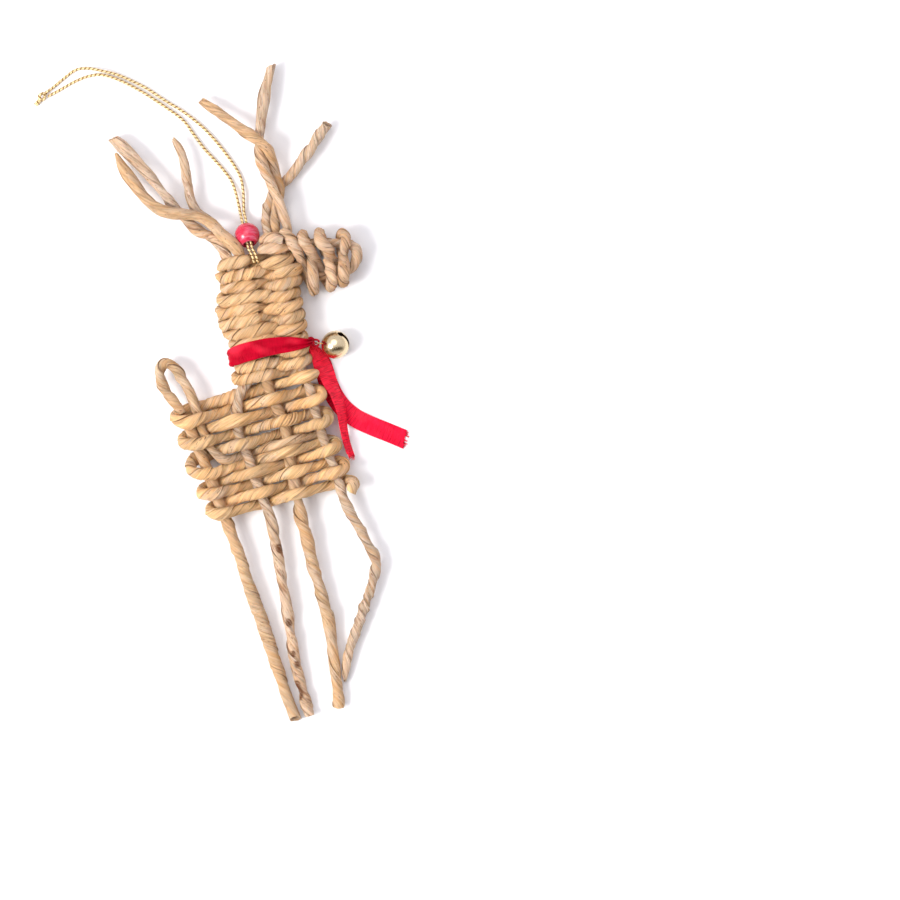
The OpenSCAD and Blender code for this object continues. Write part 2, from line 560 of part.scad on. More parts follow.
module hanger_strand_left() { color("gold") laid() cord(strand(-strand_shift, left_run), 2); }
module hanger_strand_right() { color("gold") laid() cord(strand(strand_shift, right_run), 2); }

// The bight of the cord that is caught inside the crown's weave
module hanger_stitch() {
    top = doubled_run[0];
    color("gold") laid() cord([
        for (p = [[1, 0], [1, -1.3], [0.6, -2.3], [0, -2.7], [-0.6, -2.3], [-1, -1.3], [-1, 0]])
        [top.x + p[0] * strand_shift, top.y, top.z + p[1], gold_d]
    ], 2);
}

module hanger_knot() {
    color("gold") laid() translate(gold_knot_centre) {
        sphere(d = gold_knot_d, $fn = 24);
        rotate([0, -90, 40]) cylinder(d1 = 1.4, d2 = 1, h = 3, $fn = 16);
    }
}

hind_outer_leg();
hind_inner_leg();
fore_inner_leg();
fore_bent_leg();
tail_loop();
body_weaver();
neck_weaver();
crown_wrap();
snout_core();
snout_weaver();
rear_antler_tine();
front_antler_left_tine();
front_antler_right_tine();
ribbon_collar();
ribbon_knot();
ribbon_tail_long();
ribbon_tail_short();
bell_tie();
bell_shank();
bell_cap();
bell_cup();
bell_pellet();
bead();
hanger_stitch();
hanger_strand_left();
hanger_strand_right();
hanger_knot();
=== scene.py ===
"""Woven reindeer ornament of twisted leaf cord: the looks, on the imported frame."""
import math

import bpy
import numpy as np
from mathutils import Matrix, Vector


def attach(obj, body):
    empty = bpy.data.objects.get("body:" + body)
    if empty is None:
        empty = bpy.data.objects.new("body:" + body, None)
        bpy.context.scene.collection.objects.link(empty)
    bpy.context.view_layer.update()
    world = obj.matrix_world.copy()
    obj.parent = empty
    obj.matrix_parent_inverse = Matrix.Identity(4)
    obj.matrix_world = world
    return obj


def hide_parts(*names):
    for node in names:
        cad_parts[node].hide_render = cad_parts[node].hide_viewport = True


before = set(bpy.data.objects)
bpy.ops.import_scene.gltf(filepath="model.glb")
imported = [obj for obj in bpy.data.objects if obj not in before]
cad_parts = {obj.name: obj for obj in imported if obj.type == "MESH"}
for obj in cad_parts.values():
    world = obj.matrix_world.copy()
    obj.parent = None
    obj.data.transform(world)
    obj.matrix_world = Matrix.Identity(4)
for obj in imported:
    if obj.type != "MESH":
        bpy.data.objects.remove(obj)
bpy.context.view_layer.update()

MM = 0.001
ORIGIN_X = 8.0  # the routes are laid out from the nape, as in part.scad
MID_Z = 5.6  # height of the weave's middle plane
FLOOR_Z = 0.02  # nothing of the ornament reaches lower

# ---------- camera

LENS, SENSOR = 400, 36
VIEW_WIDTH = 0.288
camera_data = bpy.data.cameras.new("camera")
camera_data.lens = LENS
camera_data.sensor_width = SENSOR
camera_data.clip_start = 0.05
camera = bpy.data.objects.new("camera", camera_data)
bpy.context.scene.collection.objects.link(camera)
camera.location = (0.0518, -0.0279, 0.006 + VIEW_WIDTH / 2 / (SENSOR / 2 / LENS))
camera.rotation_euler = (0, 0, math.radians(-11))
bpy.context.scene.camera = camera

# ---------- paths


def smooth(points, sub=12):
    """The same curve through the points as in part.scad, in fine steps."""
    p = np.array(points, float)
    out = []
    for i in range(len(p) - 1):
        a, b, c, e = p[max(i - 1, 0)], p[i], p[i + 1], p[min(i + 2, len(p) - 1)]
        t = (np.arange(sub) / sub)[:, None]
        out.append(0.5 * (2 * b + (c - a) * t + (2 * a - 5 * b + 4 * c - e) * t ** 2
                          + (3 * b - a - 3 * c + e) * t ** 3))
    return np.vstack(out + [p[-1:]])


def even(points, step):
    """The curve resampled at even steps: its rows and the length at each."""
    p = smooth(points)
    run = np.concatenate([[0], np.cumsum(np.linalg.norm(np.diff(p[:, :3], axis=0), axis=1))])
    n = max(4, int(round(run[-1] / step)) + 1)
    s = np.linspace(0, run[-1], n)
    return np.column_stack([np.interp(s, run, p[:, k]) for k in range(p.shape[1])]), s


def unit(v):
    """The vectors at length one."""
    return v / np.linalg.norm(v, axis=-1, keepdims=True)


def frames(p):
    """Runs, side and up directions along a path, carried without twist."""
    t = unit(np.gradient(p[:, :3], axis=0))
    side = np.empty_like(t)
    s = np.cross(t[0], [0, 0, 1])
    for i in range(len(t)):
        s = s - s.dot(t[i]) * t[i]
        s = s / np.linalg.norm(s)
        side[i] = s
    return t, side, np.cross(side, t)


def wander(rng, s, wave, amount):
    """Smooth random values along the length, changing over about wave mm."""
    knots = np.arange(s[0] - 2 * wave, s[-1] + 3 * wave, wave)
    values = rng.uniform(-1, 1, len(knots))
    x = (s - knots[0]) / wave
    i = np.clip(x.astype(int), 1, len(knots) - 3)
    t = x - i
    a, b, c, d = values[i - 1], values[i], values[i + 1], values[i + 2]
    return amount * 0.5 * (2 * b + (c - a) * t + (2 * a - 5 * b + 4 * c - d) * t ** 2
                           + (3 * b - a - 3 * c + d) * t ** 3)


def lumps(rng, s, wave, around, amount):
    """Smooth random values over the length and round the turn, as a function of the turn."""
    grid = rng.uniform(-1, 1, (int((s[-1] - s[0]) / wave) + 3, around))
    x = (s - s[0]) / wave
    i = x.astype(int)
    u = x - i
    u = u * u * (3 - 2 * u)

    def at(share):
        y = (share % 1) * around
        j, k = int(y) % around, (int(y) + 1) % around
        v = y - int(y)
        v = v * v * (3 - 2 * v)
        return amount * ((grid[i, j] * (1 - v) + grid[i, k] * v) * (1 - u)
                         + (grid[i + 1, j] * (1 - v) + grid[i + 1, k] * v) * u)
    return at


# ---------- meshes


def placed(points):
    """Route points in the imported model's frame, in metres and clear of the floor."""
    p = np.array(points, float)
    p[:, 0] -= ORIGIN_X
    p[:, 2] = np.maximum(p[:, 2], FLOOR_Z)
    return p * MM


def new_mesh(name, verts, faces, sharp=None):
    """A smooth-shaded object from route millimetres; edges over sharp degrees stay sharp."""
    mesh = bpy.data.meshes.new(name)
    mesh.from_pydata([tuple(v) for v in placed(verts)], [], faces)
    mesh.validate()
    mesh.update()
    mesh.shade_smooth()
    if sharp:
        mesh.set_sharp_from_angle(angle=math.radians(sharp))
    obj = bpy.data.objects.new(name, mesh)
    bpy.context.scene.collection.objects.link(obj)
    return obj


def point_attribute(obj, name, kind, values):
    """One value per vertex, for the materials to read."""
    attribute = obj.data.attributes.new(name, kind, "POINT")
    key = {"FLOAT": "value", "FLOAT_VECTOR": "vector", "FLOAT_COLOR": "color"}[kind]
    attribute.data.foreach_set(key, np.asarray(values, np.float32).ravel())


def tube_faces(rings, n, first=0, close=True):
    """Quads of a tube of rings with n points each, with fans over both ends."""
    faces = [(first + i * n + k, first + i * n + (k + 1) % n,
              first + (i + 1) * n + (k + 1) % n, first + (i + 1) * n + k)
             for i in range(rings - 1) for k in range(n)]
    if close:
        faces.append(tuple(first + k for k in reversed(range(n))))
        faces.append(tuple(first + (rings - 1) * n + k for k in range(n)))
    return faces


def tube(path, radius, sides, first=0):
    """A closed tube along a path: its vertices, its faces and the angle of each side."""
    _, side, up = frames(path)
    b = np.arange(sides) * 2 * math.pi / sides
    ring = np.cos(b)[None, :, None] * side[:, None] + np.sin(b)[None, :, None] * up[:, None]
    return (path[:, None] + radius * ring).reshape(-1, 3), tube_faces(len(path), sides, first), b


def finish_piece(obj, material, body, nodes=()):
    """The material, the body that the piece rides on and the CAD nodes it stands for."""
    obj.data.materials.append(material)
    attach(obj, body)
    if nodes:
        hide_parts(*nodes)
    return obj


# ---------- materials


class Graph:
    """A short way to write a node tree."""

    def __init__(self, name):
        self.material = bpy.data.materials.new(name)
        self.material.use_nodes = True
        self.tree = self.material.node_tree
        self.tree.nodes.clear()
        self.out = self.tree.nodes.new("ShaderNodeOutputMaterial")
        self.shader = self.tree.nodes.new("ShaderNodeBsdfPrincipled")
        self.tree.links.new(self.shader.outputs[0], self.out.inputs[0])

    def link(self, a, b):
        self.tree.links.new(a, b)

    def feed(self, socket, value):
        if hasattr(value, "links"):
            self.link(value, socket)
        else:
            socket.default_value = value

    def attribute(self, name, output):
        node = self.tree.nodes.new("ShaderNodeAttribute")
        node.attribute_name = name
        return node.outputs[output]

    def stretch(self, vector, scale, shift=(0, 0, 0)):
        node = self.tree.nodes.new("ShaderNodeMapping")
        self.link(vector, node.inputs["Vector"])
        node.inputs["Scale"].default_value = scale
        node.inputs["Location"].default_value = shift
        return node.outputs[0]

    def noise(self, vector, scale=1.0, detail=2.0, roughness=0.5):
        node = self.tree.nodes.new("ShaderNodeTexNoise")
        self.link(vector, node.inputs["Vector"])
        node.inputs["Scale"].default_value = scale
        node.inputs["Detail"].default_value = detail
        node.inputs["Roughness"].default_value = roughness
        return node.outputs[0]

    def span(self, value, low, high, to_low=0.0, to_high=1.0):
        node = self.tree.nodes.new("ShaderNodeMapRange")
        node.clamp = True
        for socket, v in zip(node.inputs, (value, low, high, to_low, to_high)):
            self.feed(socket, v)
        return node.outputs[0]

    def math(self, kind, a, b=0.0):
        node = self.tree.nodes.new("ShaderNodeMath")
        node.operation = kind
        self.feed(node.inputs[0], a)
        self.feed(node.inputs[1], b)
        return node.outputs[0]

    def mix(self, factor, a, b, kind="MIX"):
        node = self.tree.nodes.new("ShaderNodeMix")
        node.data_type = "RGBA"
        node.blend_type = kind
        self.feed(node.inputs[0], factor)
        self.feed(node.inputs[6], a)
        self.feed(node.inputs[7], b)
        return node.outputs[2]

    def bump(self, height, distance, strength=1.0):
        node = self.tree.nodes.new("ShaderNodeBump")
        node.inputs["Distance"].default_value = distance
        node.inputs["Strength"].default_value = strength
        self.link(height, node.inputs["Height"])
        self.link(node.outputs[0], self.shader.inputs["Normal"])

    def set(self, **values):
        for key, value in values.items():
            self.feed(self.shader.inputs[key.replace("_", " ")], value)


def leaf_material():
    """Dried leaf strip: fine fibres, warm streaks, pale grey patches and specks, with painted shade at
    lap edges, in folds and in cut ends.
    """
    g = Graph("dried_leaf")
    grain = g.attribute("grain", "Vector")
    tone = g.attribute("tone", "Color")
    shade_and_scars = g.attribute("shade_and_scars", "Fac")
    mottle = g.attribute("mottle", "Fac")
    fine = g.noise(g.stretch(grain, (0.16, 2.6, 1)), 1, 3, 0.65)
    broad = g.noise(g.stretch(grain, (0.10, 0.85, 1), (7, 3, 0)), 1, 2)
    patch = g.noise(g.stretch(grain, (0.13, 0.22, 1), (31, 11, 5)), 1, 3, 0.6)
    warm = g.noise(g.stretch(grain, (0.06, 0.6, 1), (3, 51, 9)), 1, 2)
    colour = g.mix(g.span(broad, 0.38, 0.62, 0, 0.45), tone, (0.53, 0.30, 0.125, 1))
    colour = g.mix(g.span(warm, 0.55, 0.68, 0, 0.5), colour, (0.56, 0.26, 0.065, 1))
    pale = g.math("MULTIPLY", g.span(patch, 0.48, 0.62), g.span(mottle, 0, 1, 0.25, 0.95))
    colour = g.mix(pale, colour, (0.62, 0.47, 0.345, 1))
    fibre = g.span(fine, 0.3, 0.7, 0.79, 1.12)
    colour = g.mix(1.0, colour, fibre, "MULTIPLY")
    thin = g.noise(g.stretch(grain, (0.3, 4.6, 1), (5, 71, 3)), 1, 2, 0.6)
    colour = g.mix(1.0, colour, g.span(thin, 0.32, 0.44, 0.76, 1.04), "MULTIPLY")
    bruise = g.noise(g.stretch(grain, (0.2, 0.75, 1), (83, 27, 13)), 1, 3, 0.6)
    bruise = g.math("MULTIPLY", g.span(bruise, 0.57, 0.66), g.span(mottle, 0.1, 0.9, 0.1, 0.85))
    colour = g.mix(bruise, colour, (0.27, 0.125, 0.065, 1))
    spots = g.noise(g.stretch(grain, (0.8, 1.9, 1), (17, 5, 77)), 1, 1)
    where = g.noise(g.stretch(grain, (0.07, 0.25, 1), (57, 35, 7)), 1, 1)
    limit = g.span(mottle, 0, 1, 0.58, 0.40)
    speck = g.math("MULTIPLY", g.span(spots, 0.66, 0.72), g.math("GREATER_THAN", where, limit))
    colour = g.mix(g.math("MULTIPLY", speck, 0.75), colour, (0.13, 0.055, 0.025, 1))
    # Painted shade at lap edges, in fold grooves and in the cut ends, with the leaf scars' dark marks
    colour = g.mix(g.math("MULTIPLY", shade_and_scars, 0.9), colour, (0.13, 0.045, 0.014, 1))
    g.set(Base_Color=colour, Roughness=g.span(fine, 0.3, 0.7, 0.74, 0.58))
    g.shader.inputs["Specular IOR Level"].default_value = 0.3
    g.shader.inputs["Subsurface Weight"].default_value = 0.22
    g.shader.inputs["Subsurface Radius"].default_value = (1.0, 0.45, 0.2)
    g.shader.inputs["Subsurface Scale"].default_value = 0.0012
    height = g.math("ADD", fine, g.math("MULTIPLY", broad, 0.7))
    height = g.math("ADD", height, g.math("MULTIPLY", g.span(thin, 0.34, 0.46), 0.5))
    g.bump(height, 0.00026, 1.0)
    return g.material


LEAF = leaf_material()
LIGHT = (0.80, 0.505, 0.26)
STRAW = (0.86, 0.54, 0.265)
TAN = (0.62, 0.415, 0.245)
PALE = (0.645, 0.475, 0.34)
GREY = (0.69, 0.47, 0.31)

# ---------- leaf cord

ROUND_STEPS = 40  # vertices round one turn of a leaf cord
FOLD_COUNT = 10
EDGE_SHADE = 0.24  # how far the painted shade at a lap's edge reaches, mm


def leaf_cord(name, node, points, seed, tone=TAN, mottle=0.2, pitch=14.0, full=1.05,
              step=0.5, ragged=0.7, laps=(0.0, 0.57), flat=0.06, eyes=()):
    """A leaf strip rolled into a cord: a lapped section that turns along its length.

    laps are where the strip's edges start round the turn, pitch the length of one turn,
    full a factor on the radius, flat how oval it is, and eyes the leaf scars: x, y, radius.
    Painted shade darkens the lap edges, the fold grooves and the hollow cut ends.
    """
    rng = np.random.default_rng(seed)
    path, s = even(points, step)
    path[:, 2] += MID_Z
    t, side, up = frames(path)
    path[:, :3] += side * wander(rng, s, 9, 0.14)[:, None] + up * wander(rng, s, 9, 0.1)[:, None]
    radius = path[:, 3] / 2 * full * (1 + wander(rng, s, 8, 0.08) + wander(rng, s, 2.6, 0.035))
    turn = rng.uniform(0, 6.28) + 2 * math.pi * np.cumsum(
        (s[1] - s[0]) / np.interp(s / s[-1], np.linspace(0, 1, np.size(pitch)), np.atleast_1d(pitch))
        * (1 + wander(rng, s, 17, 0.75)))
    oval = wander(rng, s, 9, flat) + flat * 0.6
    columns = []  # share of the turn, place within its lap, lap number
    for k, start in enumerate(laps):
        end = laps[k + 1] if k + 1 < len(laps) else 1.0
        count = max(8, int(round(ROUND_STEPS * (end - start))))
        for j in range(count + 1):
            f = j / count
            columns.append((start + (end - start) * f, f, k))
    n = len(columns)
    edge_shift = [wander(rng, s, 11, 0.05) for _ in laps]
    depth = [0.15 + wander(rng, s, 7, 0.09) for _ in laps]
    rough, bumps = lumps(rng, s, 2.2, 9, 0.035), lumps(rng, s, 5.5, 4, 0.06)
    folds = [(rng.uniform(0.05, 0.98), rng.uniform(0.012, 0.04), wander(rng, s, 9, 0.085))
             for _ in range(FOLD_COUNT)]
    verts = np.empty((len(s), n, 3))
    grain = np.empty((len(s), n, 3))
    shade_and_scars = np.empty((len(s), n))
    dark = [np.clip(0.4 + wander(rng, s, 6, 0.95), 0.02, 1) for _ in laps]
    for c, (share, f, lap) in enumerate(columns):
        nxt = (lap + 1) % len(laps)
        place = share + edge_shift[lap] * (1 - f) + edge_shift[nxt] * f
        angle = turn + 2 * math.pi * place
        lift = depth[lap] * (0.45 - f) + 0.03 * math.exp(-f / 0.06)
        lift = lift + rough(share) + bumps(share)
        # Painted shade: each fold's groove darkens, most at its middle
        shade = 0
        for centre, wide, deep in folds:
            groove = np.clip(deep, 0, 1) * math.exp(-((share - centre) / wide) ** 2)
            lift = lift - groove
            shade = shade + groove * 6 * math.exp(-((share - centre) / wide * 1.4) ** 2)
        r = radius * (1 + lift) * (1 + oval * np.cos(2 * (angle - turn * 0.8)))
        verts[:, c] = path[:, :3] + r[:, None] * (
            np.cos(angle)[:, None] * side + np.sin(angle)[:, None] * up)
        round_mm = 2 * math.pi * np.mean(radius)
        grain[:, c] = np.column_stack([s, np.full(len(s), share * round_mm + 40 * lap),
                                       np.full(len(s), seed * 7.3)])
        # Painted shade: darker towards the end of each lap, where it tucks under the next lap's edge
        near = math.exp(-(1 - f) * (1.0 / len(laps)) * round_mm / EDGE_SHADE)
        shade_and_scars[:, c] = np.clip(1.15 * near * dark[nxt] + shade, 0, 1)
    # Ragged, slightly hollow cut ends: two small rings and a cap close each; the rings get painted
    # shade, darker further in
    faces = tube_faces(len(s), n, close=False)
    all_verts = [verts.reshape(-1, 3)]
    all_grain = [grain.reshape(-1, 3)]
    all_painted_shade = [shade_and_scars.ravel()]
    for end in (0, len(s) - 1):
        out = -t[end] if end == 0 else t[end]
        tilt = unit(rng.normal(size=3))
        reach = (verts[end] - path[end, :3]) @ tilt * ragged + rng.uniform(-0.3, 0.3, n) * ragged
        shift = np.clip(reach, -0.9, 0.9)[:, None] * out
        inward = 1 if end == 0 else -1
        for back in range(3):
            share = (1.0, 0.6, 0.25)[back]
            index = end + inward * back
            all_verts[0][index * n:(index + 1) * n] += shift * share
        rim = all_verts[0][end * n:(end + 1) * n]
        centre = path[end, :3]
        base = sum(len(v) for v in all_verts)
        rings = [centre + (rim - centre) * 0.78 - out * 0.25 + rng.normal(0, 0.05, (n, 3)),
                 centre + (rim - centre) * 0.42 - out * 0.75 + rng.normal(0, 0.06, (n, 3))]
        previous = end * n
        for q, ring in enumerate(rings):
            first = base + q * n
            for k in range(n):
                k2 = (k + 1) % n
                quad = (previous + k, previous + k2, first + k2, first + k)
                faces.append(quad if end else tuple(reversed(quad)))
            previous = first
            all_verts.append(ring)
            all_grain.append(grain[end] + [0, 0, 3 + q])
            all_painted_shade.append(np.full(n, 0.25 + 0.35 * q))
        cap = tuple(previous + k for k in range(n))
        faces.append(cap if end else tuple(reversed(cap)))
    v = np.vstack(all_verts)
    obj = new_mesh(name, v, faces, sharp=50)
    g = np.vstack(all_grain)
    point_attribute(obj, "grain", "FLOAT_VECTOR", g)
    # The painted shade, with the leaf scars' dark rings and centres laid over it
    shade_with_scars = np.concatenate(all_painted_shade)
    for x, y, wide in eyes:
        away = np.hypot(v[:, 0] - x, (v[:, 1] - y) * 0.75) / wide
        ring = 1.1 * np.exp(-((away - 1) / 0.3) ** 2) + 1.6 * np.exp(-(away / 0.55) ** 2)
        near_z = path[np.argmin(np.hypot(path[:, 0] - x, path[:, 1] - y)), 2]
        shade_with_scars = np.maximum(shade_with_scars, np.where(v[:, 2] > near_z, ring, 0))
    point_attribute(obj, "shade_and_scars", "FLOAT", shade_with_scars)
    shade = 1 + wander(rng, s, 12, 0.12)
    redder = wander(rng, s, 18, 0.06)
    tones = np.array(tone)[None] * shade[:, None] * (1 + redder[:, None] * np.array([1, 0, -1]))
    tones = [np.clip(np.interp(g[:, 0], s, tones[:, k]), 0, 1) for k in range(3)]
    point_attribute(obj, "tone", "FLOAT_COLOR", np.column_stack([*tones, np.ones(len(g))]))
    blotch = np.clip(mottle + wander(rng, s, 10, 0.35), 0, 1)
    point_attribute(obj, "mottle", "FLOAT", np.interp(g[:, 0], s, blotch))
    return finish_piece(obj, LEAF, "figure", [node])

# ---------- hanger

GOLD_D = 1.0
BEAD_CENTRE = np.array([9.2, 52, 5.5])
BEAD_TURN, BEAD_DIP = math.radians(2), math.radians(28)
BEAD_RUN = np.array([-math.sin(BEAD_TURN) * math.cos(BEAD_DIP),
                     math.cos(BEAD_TURN) * math.cos(BEAD_DIP), -math.sin(BEAD_DIP)])
BEAD_OVER = np.array([math.cos(BEAD_TURN), math.sin(BEAD_TURN), 0])
DOUBLED_RUN = [[10.4, 42.85, 7.9], [10.4, 43.2, 8.8], [10.2, 44.4, 9.1], [9.9, 45.8, 8.4]]
RIGHT_RUN = [
    [10.5, 65.6, 1.4], [10.6, 70.3, 0.7], [9.3, 74.8, 0.6], [6.6, 80.6, 0.6],
    [3.8, 85.6, 0.6], [0.8, 90, 0.6], [-3.6, 95, 0.6], [-8.4, 99.4, 0.6],
    [-14.2, 105, 0.6], [-21.4, 110.2, 0.8], [-26.6, 112.7, 1.8],
    [-31.2, 114.4, 0.9], [-35, 114.5, 0.6], [-39.2, 112.5, 0.6],
    [-43, 110.4, 1], [-45.4, 109.3, 1.4]]
LEFT_RUN = [
    [8.2, 65, 1.4], [7.6, 69.6, 0.7], [6, 73.4, 0.6], [3.2, 78.2, 0.6],
    [0.8, 82.2, 0.6], [-1.4, 86.8, 0.6], [-4.2, 92.4, 0.6], [-9.4, 98, 0.6],
    [-15.4, 103.8, 0.6], [-21.8, 108.8, 0.6], [-26.8, 111.4, 0.6],
    [-31, 111.8, 0.6], [-35.6, 111, 0.6], [-40.4, 109.4, 0.8], [-45, 107.9, 1.2]]
GOLD_KNOT = np.array([-47, 108.2, 1.4])


def gold_material():
    """Metallic thread: pale gold plies and a dark one, with the foil's wrap."""
    g = Graph("metallic_thread")
    grain = g.attribute("grain", "Vector")
    wrap = g.noise(g.stretch(grain, (3.2, 1.2, 1)), 1, 2)
    split = g.tree.nodes.new("ShaderNodeSeparateXYZ")
    g.link(grain, split.inputs[0])
    colour = g.mix(g.span(split.outputs[2], 1, 4), (0.22, 0.11, 0.03, 1), (0.96, 0.76, 0.42, 1))
    colour = g.mix(g.span(wrap, 0.3, 0.7, 0.3, 0), colour, (0.45, 0.26, 0.07, 1))
    g.set(Base_Color=colour, Metallic=0.75, Roughness=g.span(wrap, 0.3, 0.7, 0.28, 0.5))
    g.bump(wrap, 0.00005, 0.8)
    return g.material


GOLD = gold_material()


def thread(points, plies=3, pitch=1.4, diameter=GOLD_D * 0.95, step=0.17, sides=7, phase=0.0):
    """Vertices, faces and grain of a twisted thread along the points."""
    path, s = even([list(p[:3]) for p in points], step)
    _, side, up = frames(path)
    verts, faces, grain = [], [], []
    ply_r = diameter * 0.27
    for k in range(plies):
        a = phase + 2 * math.pi * (s / pitch + k / plies)
        centre = path + (diameter / 2 - ply_r) * (np.cos(a)[:, None] * side + np.sin(a)[:, None] * up)
        ply, ply_faces, b = tube(centre, ply_r, sides, first=sum(len(v) for v in verts))
        verts.append(ply)
        faces += ply_faces
        grain.append(np.column_stack([np.repeat(s, sides), np.tile(b, len(s)),
                                      np.full(len(s) * sides, k * 5.0)]))
    return path, np.vstack(verts), faces, np.vstack(grain)


def gold_piece(name, points, nodes, phase=0.0):
    """A length of the gold thread, with its path in metres."""
    path, v, faces, grain = thread(points, phase=phase)
    obj = new_mesh(name, v, faces)
    point_attribute(obj, "grain", "FLOAT_VECTOR", grain)
    finish_piece(obj, GOLD, "figure", nodes)
    return obj, placed(path)


def strand_points(shift, run):
    """A strand's route: out of the stitch, through the bead, and on along its run."""
    points = [np.array(p) + [shift, 0, 0] for p in DOUBLED_RUN]
    points += [BEAD_CENTRE + along * BEAD_RUN + shift * BEAD_OVER
               for along in (-4.8, -3.8, 0, 3.8, 6.6, 8.6)]
    return points + [np.array(p, float) for p in run]


left_strand, left_path = gold_piece("gold_strand_left", strand_points(-0.6, LEFT_RUN),
                                    ["hanger_strand_left"])
right_strand, right_path = gold_piece("gold_strand_right", strand_points(0.6, RIGHT_RUN),
                                      ["hanger_strand_right"], phase=0.9)

KNOT_LOOP = [[1.6, 0.5, 0.1], [0.7, 1.0, 0.7], [-0.5, 0.7, 1.0], [-1.0, -0.3, 0.5],
             [-0.5, -1.0, -0.1], [0.5, -0.9, -0.5], [1.0, 0.0, -0.3], [0.6, 0.9, 0.2],
             [-0.3, 0.6, 0.8], [-0.8, -0.4, 0.9], [-0.2, -1.1, 0.3], [0.8, -0.6, 0.1]]
KNOT_TAILS = [[[-0.4, -0.2, 0], [-1.2, -0.9, -0.3], [-2.0, -1.5, -0.6], [-2.6, -2.0, -0.8]],
              [[-0.3, -0.5, 0.2], [-1.0, -1.3, -0.2], [-1.5, -1.9, -0.6], [-2.2, -2.3, -0.8]]]


def gold_knot_piece():
    """One turn of the cord over both strands, and two frayed ends."""
    verts, faces, grain = [], [], []
    for loop in [KNOT_LOOP] + KNOT_TAILS:
        _, v, f, own_grain = thread([GOLD_KNOT + np.array(p) for p in loop], diameter=0.9)
        first = sum(len(x) for x in verts)
        verts.append(v)
        faces += [tuple(first + i for i in face) for face in f]
        grain.append(own_grain)
    obj = new_mesh("gold_knot", np.vstack(verts), faces)
    point_attribute(obj, "grain", "FLOAT_VECTOR", np.vstack(grain))
    return finish_piece(obj, GOLD, "figure", ["hanger_knot"])


gold_knot = gold_knot_piece()

STITCH = [[1, 0], [1, -1.3], [0.6, -2.3], [0, -2.7], [-0.6, -2.3], [-1, -1.3], [-1, 0]]
gold_piece("gold_stitch", [[DOUBLED_RUN[0][0] + x * 0.6, DOUBLED_RUN[0][1],
                            DOUBLED_RUN[0][2] + z] for x, z in STITCH], ["hanger_stitch"])

# ---------- ribbon

RIBBON_W = 6.0
FRAYED_ENDS = 26  # loose threads at a cut end
LONG_TAIL = [
    [22.7, 13.7, 5.6, -10, 0.3], [23, 12.2, 4, -20, 0.55], [24, 10.4, 2.6, -25, 0.75],
    [24.5, 8.4, 2.4, -25, 0.9], [24.9, 6.2, 2.4, -28, 1], [25.8, 3.2, 2.8, -38, 1],
    [26.5, 0, 3.4, -48, 1], [27.3, -3.4, 3.5, -54, 1], [27.9, -6.8, 3.5, -58, 1],
    [28.1, -10.4, 3.4, -60, 0.95], [28, -14, 3.1, -62, 0.85], [28, -18, 2.9, -62, 0.7],
    [28.2, -21, 2.9, -60, 0.62], [28.5, -23.6, 2.8, -58, 0.6]]
SHORT_TAIL = [
    [22.9, 13.6, 5.1, 0, 0.25], [23.2, 12.2, 2.6, 0, 0.4], [24, 10.2, 1, 0, 0.6],
    [24.8, 8, 0.5, 0, 0.9],
    [25.2, 4.4, 0.35, 0, 1], [25.6, 0.8, 0.35, 0, 1], [26.6, -3.4, 0.35, 0, 1],
    [28.8, -8.2, 0.35, 0, 1], [32.2, -12.2, 0.35, 0, 1], [36.6, -15.5, 0.35, 0, 1],
    [41.4, -18.6, 0.35, 0, 1], [46.2, -21.8, 0.35, 0, 1]]
COLLAR = [
    [23, 14.5, 7.4, 0, 0.3], [22.4, 14.5, 9.3, 0, 0.42], [20.6, 14.5, 11, 0, 0.55],
    [16, 15, 11.5, 0, 0.8],
    [9, 15.5, 11.75, 0, 0.95], [2, 15.2, 11.7, 0, 1], [-1.6, 14.7, 11.1, 0, 1],
    [-3.5, 14.4, 9.5, 0, 0.9], [-4.1, 14.2, 7.6, 0, 0.85], [-4.1, 14.1, 5.4, 0, 0.8],
    [-3.6, 14.1, 3.2, 0, 0.85], [-2.9, 14.1, 1.4, 0, 0.9], [-1.2, 14.2, 0.4, 0, 1],
    [6, 14.3, 0.27, 0, 1], [15, 14.2, 0.27, 0, 0.9], [20.4, 14, 0.4, 0, 0.6],
    [22.1, 14, 1.8, 0, 0.4], [22.7, 14.1, 3.6, 0, 0.35], [23, 14.3, 5.2, 0, 0.3]]


def satin_material(name, base, deep, rib):
    """Red ribbon: cross ribs, lengthwise threads, cloudy painted shade and blotches of painted sheen.
    """
    g = Graph(name)
    cloth = g.attribute("cloth", "Vector")
    ribs = g.noise(g.stretch(cloth, (3.4, 0.25, 1)), 1, 1)
    threads = g.noise(g.stretch(cloth, (0.5, 5.5, 1), (9, 2, 0)), 1, 1)
    cloud = g.noise(g.stretch(cloth, (0.16, 0.3, 1), (2, 8, 4)), 1, 2)
    # Cloudy darker patches: painted fold shade
    colour = g.mix(g.span(cloud, 0.3, 0.7), base, deep)
    # Lighter orange-red blotches: a painted sheen
    painted_sheen = g.noise(g.stretch(cloth, (0.12, 0.16, 1), (41, 15, 6)), 1, 1)
    colour = g.mix(g.span(painted_sheen, 0.48, 0.72, 0, 0.6), colour, (0.85, 0.035, 0.07, 1))
    colour = g.mix(1.0, colour, g.span(ribs, 0.3, 0.7, 1 - rib, 1 + rib), "MULTIPLY")
    g.set(Base_Color=colour, Roughness=g.span(ribs, 0.3, 0.7, 0.36, 0.5))
    g.shader.inputs["Specular IOR Level"].default_value = 0.04
    g.bump(g.math("ADD", g.math("MULTIPLY", ribs, 1 + 6 * rib), threads), 0.00013, 1.0)
    return g.material


